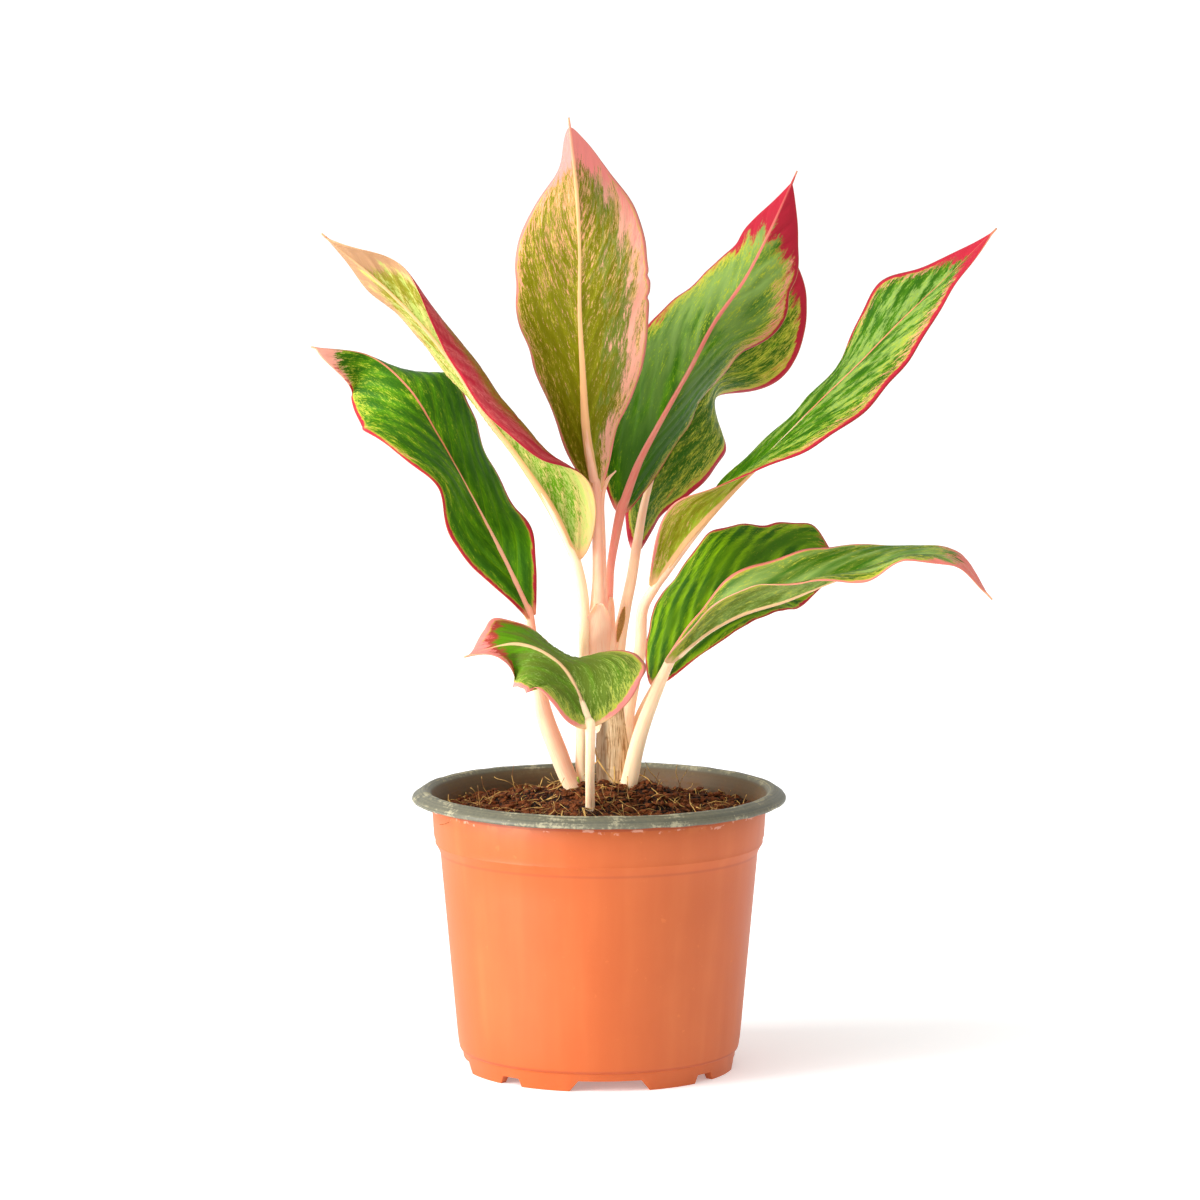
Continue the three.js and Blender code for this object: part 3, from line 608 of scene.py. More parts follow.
def dry_finish():
    """Dead brown sheath, papery and fibrous, lifted out of its shade by a painted glow."""
    finish = Finish("dry_sheath")
    lines = finish.noise((8.0, 0.5, 1.0), 4.0, 0.65, on=finish.attribute("run", "Vector"))
    finish.base = finish.mix(finish.smooth(lines, 0.35, 0.68), "a8702c", "dca860")
    # Painted light: the sheath glows in its own colour, which brightens it where it lies in shade.
    return finish.surface(0.75 + lines * 0.15, finish.bump(lines, 0.0005), 0.2)


def face_look(ground, margin, halo, tip, rib, veins, *spots, bands=0.1):
    """How one face of a blade is coloured, with the names of the blade colours above.

    The ground is two colours. Margin and rib are a colour and a width in millimetres, and the tip is a colour
    and where it starts along the blade. The halo is the width of the yellow-green line inside the margin,
    veins is how far the side veins are brightened, and bands is how far the ground's tone follows them, as
    painted light and shade in stripes along the quilting. A spot is a colour, its grain, the share covered
    over the middle and at the margin, and what the right half and the tip add to it.
    """
    return {
        "ground": ground, "margin": margin, "halo": halo, "tip": tip, "rib": rib, "veins": veins,
        "spots": spots, "bands": bands,
    }


UPPER = face_look(
    ("deep", "green"), ("crimson", 1.1), 0.8, ("crimson", 0.93), ("salmon", 1.0), 0.25,
    ("lime", "speck", 0.08, 0.3, 0.0, 0.0),
)
UNDER = face_look(
    ("olive", "sheen"), ("rose", 0.9), 0.6, ("rose", 0.88), ("cream", 1.8), 0.1,
    ("lime", "speck", 0.25, 0.4, 0.0, 0.0), ("peach", "streak", 0.1, 0.2, 0.0, 0.0),
)
FACES = {
    "leaf_upright": (
        UPPER,
        face_look(
            ("dark_olive", "olive"), ("rose", 0.9), 0.2, ("rose", 0.87), ("peach", 1.9), 0.12,
            ("tan", "streak", 0.25, 0.1, -0.3, 0.5), ("straw", "speck", 0.1, 0.35, 0.2, 0.1),
            ("salmon", "streak", 0.1, 0.1, -0.3, 0.5), ("peach", "streak", 0.05, 0.25, 0.4, 0.2),
            ("moss", "blotch", -0.1, -0.5, 0.9, 0.0), ("blush", "blotch", -0.35, 0.15, 0.6, 0.1),
            ("rose", "streak", -0.6, 0.2, 0.1, 0.7),
        ),
    ),
    "leaf_left": (
        face_look(
            ("deep", "green"), ("crimson", 1.15), 0.25, ("blush", 0.97), ("salmon", 1.15), 0.3,
            ("fresh", "speck", 0.06, 0.3, -0.12, 0.25), ("lime", "speck", 0.02, 0.3, -0.18, 0.3),
            ("rose", "blotch", -0.6, 0.02, -0.3, 0.1),
        ),
        face_look(
            ("pale", "olive"), ("rose", 0.9), 0.0, ("blush", 0.9), ("cream", 1.8), 0.0,
            ("straw", "speck", 0.25, 0.3, 0.0, 0.0), ("peach", "streak", 0.15, 0.5, 0.0, 0.4),
        ),
    ),
    "leaf_left_twisted": (
        face_look(
            ("crimson", "rose"), ("crimson", 0.8), 0.0, ("rose", 0.93), ("rose", 1.0), 0.0,
            ("olive", "speck", 0.75, -0.2, 0.0, -0.1), ("crimson", "speck", 0.3, 0.5, 0.0, 0.0),
        ),
        face_look(
            ("pale", "peach"), ("peach", 0.8), 0.0, ("tan", 0.86), ("peach", 2.0), 0.0,
            ("peach", "streak", 0.05, 0.6, 0.0, 0.3), ("fresh", "speck", 0.35, -0.1, 0.0, 0.0),
            ("moss", "speck", 0.4, -0.1, 0.0, 0.1), ("green", "speck", 0.35, -0.3, 0.0, -0.4),
            ("tan", "blotch", 0.0, 0.5, -0.2, 0.9), ("olive", "blotch", 0.2, -0.7, 0.0, 0.9),
        ),
    ),
    "leaf_back_right": (
        face_look(
            ("deep", "green"), ("crimson", 1.2), 0.4, ("crimson", 0.84), ("coral", 2.0), 0.2,
            # Painted sheen: the grey-green clouds, more on the left half and towards the tip; the deep green
            # clouds lie more on the right half and towards the stalk.
            ("sheen", "cloud", 0.75, 0.3, -0.15, 0.6), ("deep", "cloud", 0.2, 0.0, 0.3, -0.9),
            ("fresh", "speck", 0.15, 0.5, 0.0, 0.3), ("lime", "speck", 0.05, 0.65, 0.05, 0.5),
            ("rose", "streak", -0.45, 0.25, 0.3, 0.3), ("crimson", "blotch", -0.45, 0.35, -0.1, 0.15),
        ),
        UNDER,
    ),
    "leaf_behind": (
        face_look(
            ("deep", "moss"), ("crimson", 2.1), 0.9, ("crimson", 0.88), ("rose", 1.6), 0.3,
            ("green", "blotch", 0.25, 0.1, 0.0, 0.4), ("lime", "speck", 0.3, 0.55, 0.05, 0.15),
            ("straw", "speck", -0.1, 0.3, 0.05, 0.15), ("rose", "streak", -0.4, 0.2, 0.05, 0.25),
            ("crimson", "blotch", -0.25, 0.2, 0.0, 0.0),
        ),
        UNDER,
    ),
    "leaf_right": (
        face_look(
            ("deep", "green"), ("crimson", 1.7), 0.1, ("crimson", 0.93), ("salmon", 1.1), 0.15,
            # Painted sheen: the grey-green blotches.
            ("sheen", "blotch", 0.35, 0.1, 0.1, 0.3), ("fresh", "speck", 0.15, 0.3, 0.1, 0.0),
            ("lime", "speck", 0.05, 0.32, 0.15, -0.05), ("rose", "streak", -0.3, 0.35, 0.12, 0.2),
        ),
        face_look(
            ("olive", "lime"), ("rose", 0.9), 0.3, ("rose", 0.9), ("peach", 3.0), 0.0,
            ("fresh", "speck", 0.3, 0.2, 0.0, 0.0), ("peach", "streak", 0.15, 0.42, 0.0, 0.0),
        ),
    ),
    "leaf_low_back": (
        face_look(
            ("deep", "fresh"), ("crimson", 0.8), 0.15, ("crimson", 0.97), ("salmon", 1.0), 0.5,
            ("fresh", "cloud", 0.1, -0.1, 0.0, 0.0), ("deep", "cloud", 0.2, 0.1, 0.0, 0.1),
            ("lime", "speck", -0.1, 0.2, 0.0, 0.1),
            bands=0.25,
        ),
        UNDER,
    ),
    "leaf_low_right": (
        face_look(
            ("deep", "moss"), ("coral", 1.2), 0.3, ("coral", 0.88), ("cream", 1.2), 0.1,
            # Painted sheen: the grey-green clouds.
            ("sheen", "cloud", 0.2, 0.3, 0.0, 0.2), ("lime", "speck", 0.05, 0.4, 0.1, 0.25),
            ("crimson", "blotch", -0.6, 0.05, 0.0, 0.25),
        ),
        face_look(
            ("moss", "sheen"), ("blush", 0.7), 0.5, ("rose", 0.86), ("cream", 1.8), 0.0,
            ("sheen", "speck", 0.4, 0.1, 0.0, 0.3), ("lime", "speck", 0.15, 0.5, 0.0, -0.1),
        ),
    ),
    "leaf_front": (
        face_look(
            ("green", "fresh"), ("crimson", 1.2), 0.5, ("crimson", 0.8), ("salmon", 1.0), 0.1,
            ("lime", "speck", 0.05, 0.25, 0.0, 0.0), ("rose", "blotch", -0.5, 0.05, 0.0, 0.3),
        ),
        face_look(
            ("moss", "green"), ("rose", 1.5), 0.2, ("rose", 0.91), ("cream", 2.2), 0.1,
            ("moss", "cloud", 0.6, 0.2, 0.0, 0.0), ("sheen", "speck", 0.2, 0.25, 0.0, 0.0),
            ("pale", "speck", 0.0, 0.45, 0.05, -0.3), ("lime", "speck", -0.15, 0.3, 0.05, -0.3),
            ("green", "blotch", -0.4, -0.3, 0.0, 2.6), ("crimson", "blotch", -1.4, -0.3, 0.0, 2.7),
        ),
    ),
}


def face_colour(finish, face, shape):
    """Colour of one face of a blade, from its greens to the bands at rib, margin and tip."""
    grains, edge, along, near_edge = shape["grains"], shape["edge"], shape["along"], shape["near_edge"]
    speck, blotch = grains["speck"] - 0.5, grains["blotch"] - 0.5
    # Painted light and shade: by bands, the ground's tone swings in stripes with the vein wave of the
    # quilting.
    tone = finish.smooth(grains["blotch"] + (shape["vein_line"] - 0.5) * face["bands"], 0.38, 0.68)
    finish.base = finish.mix(tone, *face["ground"])
    ridge = finish.smooth(shape["vein_line"], 0.95, 1.0) * finish.smooth(edge, 1.0, 5.0)
    finish.coat(ridge * face["veins"], "fresh")
    for name, grain, middle, margin, right, tip in face["spots"]:
        cover = near_edge * (margin - middle) + middle + shape["right"] * right + (along - 0.5) * tip * 1.6
        soft = 0.12 if grain == "cloud" else 0.045
        finish.coat(finish.smooth(grains[grain] + cover * 0.2, 0.6 - soft, 0.6 + soft) * 0.88, name)
    name, width = face["margin"]
    band = edge + blotch * 3.0 + speck * 1.6
    halo = face["halo"]
    if halo:
        finish.coat(finish.smooth(band, width + halo + 0.4, width + halo * 0.4) * 0.7, "lime")
    finish.coat(finish.smooth(band, width + 0.25, width - 0.2), name)
    name, start = face["tip"]
    reach = along + speck * 0.25 + blotch * 0.4 + near_edge * 0.07
    finish.coat(finish.smooth(reach, start - 0.01, start + 0.04), name)
    name, width = face["rib"]
    reach = (1.1 - along) * width * 0.5 + speck * 0.35
    line = finish.smooth(shape["rib"] - reach, 0.22, -0.08) * (finish.smooth(along, 1.0, 0.8) * 0.7 + 0.3)
    flare = finish.smooth(along + (grains["streak"] - 0.5) * 0.08, 0.035, 0.008)
    finish.coat(line.maths("MAXIMUM", line, flare), name)
    finish.coat(finish.smooth(edge, 0.26, 0.08) * 0.55, "peach")
    return finish.base


def blade_finish(settings, name, seed):
    """Waxy blade: each face has its own colours, with fine veins in the relief and a faint painted glow."""
    finish = Finish(name.replace("leaf", "blade"), settings)
    edge = finish.attribute("edge")
    veins = finish.attribute("veins", "Vector")
    moved = finish.vector("ADD", veins, (0.0, 0.0, seed * 17.0))
    speck = finish.noise((1.7, 0.5, 1.0), 5.0, 0.85, on=moved)
    streak = finish.noise((0.6, 0.5, 1.0), 5.0, 0.8, on=moved)
    blotch = finish.noise((0.22, 0.085, 1.0), 5.0, 0.7, on=moved)
    cloud = finish.noise((0.1, 0.04, 1.0), 2.0, on=moved)
    shape = {
        "along": finish.attribute("along"),
        "edge": edge,
        "near_edge": finish.smooth(edge, 9.0, 0.5),
        "right": finish.smooth(finish.attribute("across"), -0.1, 0.75),
        "rib": finish.attribute("rib"),
        "vein_line": finish.attribute("vein_line"),
        "grains": {
            "speck": speck * 0.66 + blotch * 0.34,
            "streak": streak * 0.5 + speck * 0.35 + blotch * 0.15,
            "blotch": blotch * 0.7 + speck * 0.3,
            "cloud": cloud * 0.85 + blotch * 0.15,
        },
    }
    upper, under = (face_colour(finish, face, shape) for face in FACES[name])
    side = finish.smooth(finish.attribute("under"), 0.45, 0.55)
    finish.base = finish.mix(side, upper, under)
    fine = finish.noise((0.5, 1.2, 1.0), on=veins)
    relief = finish.bump(fine * 0.8 + finish.noise(2400.0, 1.0) * 0.2, 0.0002, 0.5)
    glassy = {"ior": 1.42, "specular": 0.09, "subsurface": (0.12, (1.0, 0.9, 0.3), 0.0008)}
    # Painted light: a faint glow in the blade's own colours.
    return finish.surface(0.34 + side * 0.12 + fine * 0.12, relief, 0.05, **glassy)


# Shapes


def in_place(x, y, z):
    """A place in millimetres from the pot's axis, in the row frame in metres."""
    return (Vector((x, y, z)) + POT_AXIS) * MM


def off_axis(vert):
    """How far a vertex stands from the pot's axis to the right and back, in millimetres."""
    return vert.co.x / MM - POT_AXIS.x, vert.co.y / MM - POT_AXIS.y


def within(share):
    """A share kept between 0 and 1."""
    return min(1.0, max(0.0, share))


def along_rows(rows, share):
    """The rows' numbers read at a share of their run, on a smooth curve through every row."""
    span = (len(rows) - 1) * within(share)
    first = min(int(span), len(rows) - 2)
    step = span - first
    square, cube = step * step, step * step * step
    result = []
    for column in range(len(rows[0])):
        b, c = rows[first][column], rows[first + 1][column]
        a = rows[first - 1][column] if first else 2 * b - c
        d = rows[first + 2][column] if first + 2 < len(rows) else 2 * c - b
        ends = b * (2 * cube - 3 * square + 1) + c * (3 * square - 2 * cube)
        result.append(ends + (c - a) / 2 * (cube - 2 * square + step) + (d - b) / 2 * (cube - square))
    return result


def directions(rows, share):
    """Along the run, to its left as the viewer sees it, and away from the viewer."""
    before, after = (Vector(along_rows(rows, share + shift)[:3]) for shift in (-1e-4, 1e-4))
    along = (after - before).normalized()
    left = along.cross(AWAY_FROM_VIEWER).normalized()
    return along, left, left.cross(along)


def new_object(name, data):
    """An object of the scene. A bmesh given as its data becomes a mesh."""
    if isinstance(data, bmesh.types.BMesh):
        mesh, data = data, bpy.data.meshes.new(name)
        mesh.to_mesh(data)
        mesh.free()
    item = bpy.data.objects.new(name, data)
    bpy.context.scene.collection.objects.link(item)
    return item


def finish_piece(mesh, name, material, node, smooth=True, closed=True):
    """Turns a bmesh into a piece of the plant that stands for a solid of the frame."""
    if closed:
        bmesh.ops.recalc_face_normals(mesh, faces=mesh.faces)
    piece = new_object(name, mesh)
    piece.data.polygons.foreach_set("use_smooth", [smooth] * len(piece.data.polygons))
    piece.data.materials.append(material)
    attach(piece, BODY)
    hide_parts(node)
    return piece


def settle(piece):
    """Makes the result of a piece's modifiers its mesh."""
    bpy.context.view_layer.update()
    shown = piece.evaluated_get(bpy.context.evaluated_depsgraph_get())
    data = bpy.data.meshes.new_from_object(shown)
    piece.modifiers.clear()
    piece.data = data
    data.polygons.foreach_set("use_smooth", [True] * len(data.polygons))


def soften(piece, width):
    """Rounds a moulded piece's edges."""
    bevel = piece.modifiers.new("soften", "BEVEL")
    bevel.width, bevel.segments, bevel.angle_limit = width, 2, math.radians(28)
    settle(piece)


def close(mesh, verts, gap):
    """Merges a wrapped grid's seam and caps its two open ends."""
    bmesh.ops.remove_doubles(mesh, verts=verts, dist=gap)
    kept = {v for v in verts if v.is_valid}
    rims = [e for e in mesh.edges if e.is_boundary and e.verts[0] in kept]
    bmesh.ops.holes_fill(mesh, edges=rims, sides=0)


def unit_grid(mesh, columns, rows):
    """The vertices of a flat grid, half a metre to each side of the origin, for a shape to bend."""
    return bmesh.ops.create_grid(mesh, x_segments=columns, y_segments=rows, size=0.5)["verts"]


def round_run(left, back, angle, across, deep):
    """The way from a run's middle out to its skin at an angle."""
    return left * math.cos(angle) * across + back * math.sin(angle) * deep


def wrapped(mesh, rows, sides, steps, bulge=None):
    """A closed tube along a run: a grid bent round it. Marks each vertex with its place on the run."""
    run = mesh.verts.layers.float_vector.get("run") or mesh.verts.layers.float_vector.new("run")
    grid = unit_grid(mesh, sides, steps)
    reach = (Vector(rows[-1][:3]) - Vector(rows[0][:3])).length
    rings = [(along_rows(rows, key / steps), directions(rows, key / steps)) for key in range(steps + 1)]
    for vert in grid:
        turn, share = vert.co.x + 0.5, vert.co.y + 0.5
        (x, y, z, across, deep), (_, left, back) = rings[round(share * steps)]
        angle = math.tau * round(turn * sides) / sides
        swell = bulge(share, angle) if bulge else 0.0
        vert[run] = (math.cos(angle) * across, reach * share, math.sin(angle) * deep)
        offset = round_run(left, back, angle, across + swell, deep + swell)
        vert.co = in_place(*(Vector((x, y, z)) + offset))
    close(mesh, grid, 1e-7)
    return [v for v in grid if v.is_valid]


def half_width(blade, side, share):
    """Half the blade's width at a share of its length, in millimetres."""
    share, widest, rest = within(share), blade["widest"], 1 - blade["widest"]
    outline = (share / widest) ** (FULLNESS * widest) * ((1 - share) / rest) ** (FULLNESS * rest)
    width = blade["half_width"][side] * outline + NECK_HALF_WIDTH * (1 - share) ** 4 + TIP_HALF_WIDTH
    for nick_side, place, size, spread in blade["nicks"]:
        if nick_side == side:
            width += size * math.exp(-(((share - place) / spread) ** 2))
    waver = noise.noise(Vector((share * 15, side * 5.3, blade["half_width"][0] * 3.1)))
    return width + 0.7 * waver * math.sin(math.pi * share)


def blade_sections(blade):
    """What each cross row of a blade needs: its place, directions, leans and widths, and the way gone."""
    sections = []
    gone = 0.0
    for step in range(ALONG_STEPS + DRIP_STEPS + 1):
        share = min(1.0, step / ALONG_STEPS)
        x, y, z, *leans = along_rows(blade["run"], share)
        along, left, back = directions(blade["run"], share)
        middle = Vector((x, y, z))
        widths = [half_width(blade, side, share) for side in (0, 1)]
        if step > ALONG_STEPS:
            drip = (step - ALONG_STEPS) / DRIP_STEPS
            middle += (along + back * 0.25 * drip) * blade["drip"] * drip
            widths = [TIP_HALF_WIDTH * (1 - 0.85 * drip)] * 2
        if sections:
            gone += (middle - sections[-1]["middle"]).length
        nearby = [[half_width(blade, side, share + shift) for side in (0, 1)] for shift in (-0.01, 0.01)]
        sections.append({
            "share": share, "middle": middle, "left": left, "back": back, "widths": widths, "gone": gone,
            "slopes": [after - before for before, after in zip(*nearby)],
            "leans": [math.radians(lean) for lean in leans],
        })
    for section in sections:
        section["total"] = gone
    return sections


def on_blade(blade, section, side, out):
    """A point of the middle sheet, out from midrib (0) to margin (1), and the direction at its back."""
    curl = math.radians(blade["curl"][side]) * math.sin(math.pi * section["share"])
    start = section["leans"][side] - curl / 2
    heading, angle = start + curl * out / 2, start + curl * out
    width = section["widths"][side]
    chord = width * out if abs(curl) < 1e-6 else 2 * width * math.sin(curl * out / 2) / curl
    outward = section["left"] * (1 if side == 0 else -1)
    offset = outward * chord * math.cos(heading) + section["back"] * chord * math.sin(heading)
    return section["middle"] + offset, section["back"] * math.cos(angle) - outward * math.sin(angle)


def rib_normal(blade, section):
    """The direction at the back of the midrib, between those of the two halves."""
    return (on_blade(blade, section, 0, 0.0)[1] + on_blade(blade, section, 1, 0.0)[1]).normalized()


def blade_piece(name, settings, seed):
    """One blade: a grid folded into a flat closed section, with midrib, quilting and thin margins."""
    blade = BLADES[name]
    sections = blade_sections(blade)
    columns, rows = 4 * ACROSS_STEPS, len(sections) - 1
    mesh = bmesh.new()
    layers = mesh.verts.layers
    marks = {key: layers.float.new(key) for key in ("along", "across", "edge", "rib", "under", "vein_line")}
    veins = layers.float_vector.new("veins")
    grid = unit_grid(mesh, columns, rows)
    sizes = (settings.thickness, settings.rib, settings.quilting, settings.vein_gap)
    thickness, rib_height, quilting, vein_gap = (size / MM for size in sizes)
    toward_upper = 1 if blade["under_in_front"] else -1
    for vert in grid:
        column = round((vert.co.x + 0.5) * columns)
        section = sections[round((vert.co.y + 0.5) * rows)]
        share, gone = section["share"], section["gone"]
        rear = column > 2 * ACROSS_STEPS
        place = 4 * ACROSS_STEPS - column if rear else column
        side = 0 if place < ACROSS_STEPS else 1
        even = abs(place - ACROSS_STEPS) / ACROSS_STEPS
        out = 0.35 * even + 0.65 * even**1.8
        point, normal = on_blade(blade, section, side, out)
        if place == ACROSS_STEPS:
            normal = rib_normal(blade, section)
        width = section["widths"][side]
        off_rib = out * width
        under = rear != blade["under_in_front"]
        slope = section["slopes"][side] / (0.02 * section["total"])
        edge = (1 - out) * width / math.sqrt(1 + slope * slope)
        vein = gone - VEIN_SLANT * off_rib - VEIN_BEND * off_rib * off_rib
        wave = math.cos(math.tau * vein / vein_gap)
        quilt = quilting * min(1.0, off_rib / 3) * min(1.0, edge / 3) * (1 - max(0.0, wave) ** 3 * 1.8)
        phase = gone / RIPPLE_LENGTH * math.tau + seed + side * 2
        ripple = RIPPLE_HEIGHT * out * out * math.sin(phase) * math.sin(math.pi * share)
        middle = point + normal * (quilt * toward_upper + ripple)
        thick = thickness / 2 * math.sqrt(max(0.0, 1 - out**6))
        taper = (1 - share) ** 1.2
        rib = math.exp(-((off_rib / (0.4 + 1.35 * (1 - share))) ** 2)) * min(1.0, width / 3)
        thick += rib * (rib_height * taper + 0.12) if under else -rib * (0.3 * taper + 0.05)
        vert.co = in_place(*(middle + normal * (thick if rear else -thick)))
        sign = 1 if side else -1
        shown = 0.5 if out > 0.999 else float(under)
        for mark, value in zip(marks.values(), (share, sign * out, edge, off_rib, shown, wave * 0.5 + 0.5)):
            vert[mark] = value
        vert[veins] = (sign * off_rib, vein, side * 40.0)
    close(mesh, grid, 1e-6)
    return finish_piece(mesh, name.replace("leaf", "blade_of"), blade_finish(settings, name, seed), name)


def lathed(outline, steps):
    """A closed turned form: an outline spun once round the pot's axis."""
    mesh = bmesh.new()
    points = [mesh.verts.new(in_place(radius, 0, height)) for radius, height in outline]
    edges = [mesh.edges.new((a, b)) for a, b in zip(points, points[1:])]
    if outline[0][0] > 0 or outline[-1][0] > 0:
        edges.append(mesh.edges.new((points[-1], points[0])))
    turn = {"cent": in_place(0, 0, 0), "axis": (0, 0, 1), "angle": math.tau}
    bmesh.ops.spin(mesh, geom=points + edges, steps=steps, use_merge=True, **turn)
    bmesh.ops.remove_doubles(mesh, verts=mesh.verts, dist=1e-6)
    return mesh


def finer(outline, step):
    """The outline with points added so that none is further than step from the next."""
    points = [outline[0]]
    for (r0, z0), (r1, z1) in zip(outline, outline[1:]):
        parts = max(1, math.ceil(math.hypot(r1 - r0, z1 - z0) / step))
        points += [(r0 + (r1 - r0) * i / parts, z0 + (z1 - z0) * i / parts) for i in range(1, parts + 1)]
    return points


def soil_height(settings, x, y):
    """Height of the soil over a place: a mound, heaps and lumps that settle at the wall."""
    mound_x, mound_y, mound_spread = MOUND
    mound = (mound_x, mound_y, settings.mound / MM, mound_spread, 1.0)
    rise = 0.0
    for heap_x, heap_y, height, spread, stretch in (mound, *HEAPS):
        away = math.hypot((x - heap_x) / stretch, y - heap_y) / spread
        rise += height * math.exp(-away * away)
    spot = Vector((x, y, 0.0))
    lumps = noise.fractal(spot / 7, 0.8, 2.1, 4) * 1.5 + noise.fractal(spot / 2.1, 0.7, 2.2, 3) * 0.75
    fade = within((SOIL_RADIUS - math.hypot(x, y)) / 5)
    return settings.level / MM + rise * fade + lumps * (0.35 + 0.65 * fade)


def scattered(chance, reach):
    """A random place on the soil, spread evenly up to a reach from the pot's axis."""
    radius, angle = reach * math.sqrt(chance.random()), chance.random() * math.tau
    return radius * math.cos(angle), radius * math.sin(angle)


def stalk_rows(stalk):
    """A stalk's rows, carried on a little way along the underside of its blade."""
    if stalk["leaf"] is None:
        return stalk["rows"]
    blade = BLADES[stalk["leaf"]]
    sections = blade_sections(blade)
    carried = list(stalk["rows"][:-2])
    for share, radius in RIB_RADII:
        below = radius * (-0.45 if blade["under_in_front"] else 0.45)
        section = sections[round(share * ALONG_STEPS)]
        carried.append((*(section["middle"] + rib_normal(blade, section) * below), radius, radius))
    return carried


# Operators


class EVERGREEN_OT_shell(bpy.types.Operator):
    """Turns the orange outer skin, cuts its drain notches and frays its top edge"""

    bl_idname = "evergreen.shell"
    bl_label = "Outer Shell"

    def execute(self, context):
        settings = context.scene.evergreen.pot
        mesh = lathed(finer(SHELL_FLOOR + SHELL_OUTSIDE, 9.0) + finer(SHELL_INSIDE, 12.0), POT_STEPS)
        for vert in mesh.verts:
            if vert.co.z > FRAYED_ABOVE * MM:
                x, y = off_axis(vert)
                angle = math.atan2(y, x)
                frayed = noise.noise(Vector((math.cos(angle), math.sin(angle), 0.3)) * 9)
                vert.co.z += (0.4 * frayed - 5.0 * max(0.0, frayed - 0.3)) * MM
        shell = finish_piece(mesh, "outer_shell", shell_finish(settings), "pot_shell")
        cutters = bmesh.new()
        for index in range(8):
            self.add_notch(cutters, *NOTCH_SIZES[index % 2], 90 * (index // 2) + NOTCH_STEP_DEG * (index % 2))
        cutter = new_object("notch_cutters", cutters)
        cut = shell.modifiers.new("notches", "BOOLEAN")
        cut.operation, cut.solver, cut.object = "DIFFERENCE", "EXACT", cutter
        soften(shell, settings.edge_bevel)
        bpy.data.objects.remove(cutter)
        return {"FINISHED"}

    def add_notch(self, cutters, width, height, flare, turn):
        """A block through the foot ring, wider at the floor by its flare on each side."""
        turn = math.radians(FIRST_NOTCH_DEG + turn)
        for vert in bmesh.ops.create_cube(cutters, size=1.0)["verts"]:
            low = vert.co.z < 0
            out = NOTCH_REACH[vert.co.x > 0]
            side = vert.co.y * (width + (2 * flare + 1.0 if low else 0))
            x, y = out * math.cos(turn) - side * math.sin(turn), out * math.sin(turn) + side * math.cos(turn)
            vert.co = in_place(x, y, -1.0 if low else height)


class EVERGREEN_OT_liner(bpy.types.Operator):
    """Turns the dark inner skin with its rolled, slightly wavy rim"""

    bl_idname = "evergreen.liner"
    bl_label = "Liner"

    def execute(self, context):
        settings = context.scene.evergreen.pot
        mesh = lathed(finer(LINER_OUTSIDE, 12.0) + RIM_SECTION + finer(LINER_INSIDE, 6.0), POT_STEPS)
        for vert in mesh.verts:
            x, y = off_axis(vert)
            angle = math.atan2(y, x)
            wave = math.sin(2 * angle + 0.7) + 0.6 * math.sin(5 * angle + 2.0)
            nick = noise.noise(Vector((math.cos(angle) * 8, math.sin(angle) * 8, math.hypot(x, y) / 5)))
            share = within((vert.co.z / MM - WAVY_FROM) / WAVY_RUN)
            vert.co.z += (settings.rim_wobble * 0.45 * wave + 0.22 * MM * nick) * share
        soften(finish_piece(mesh, "liner", liner_finish(settings), "pot_liner"), settings.edge_bevel)
        return {"FINISHED"}


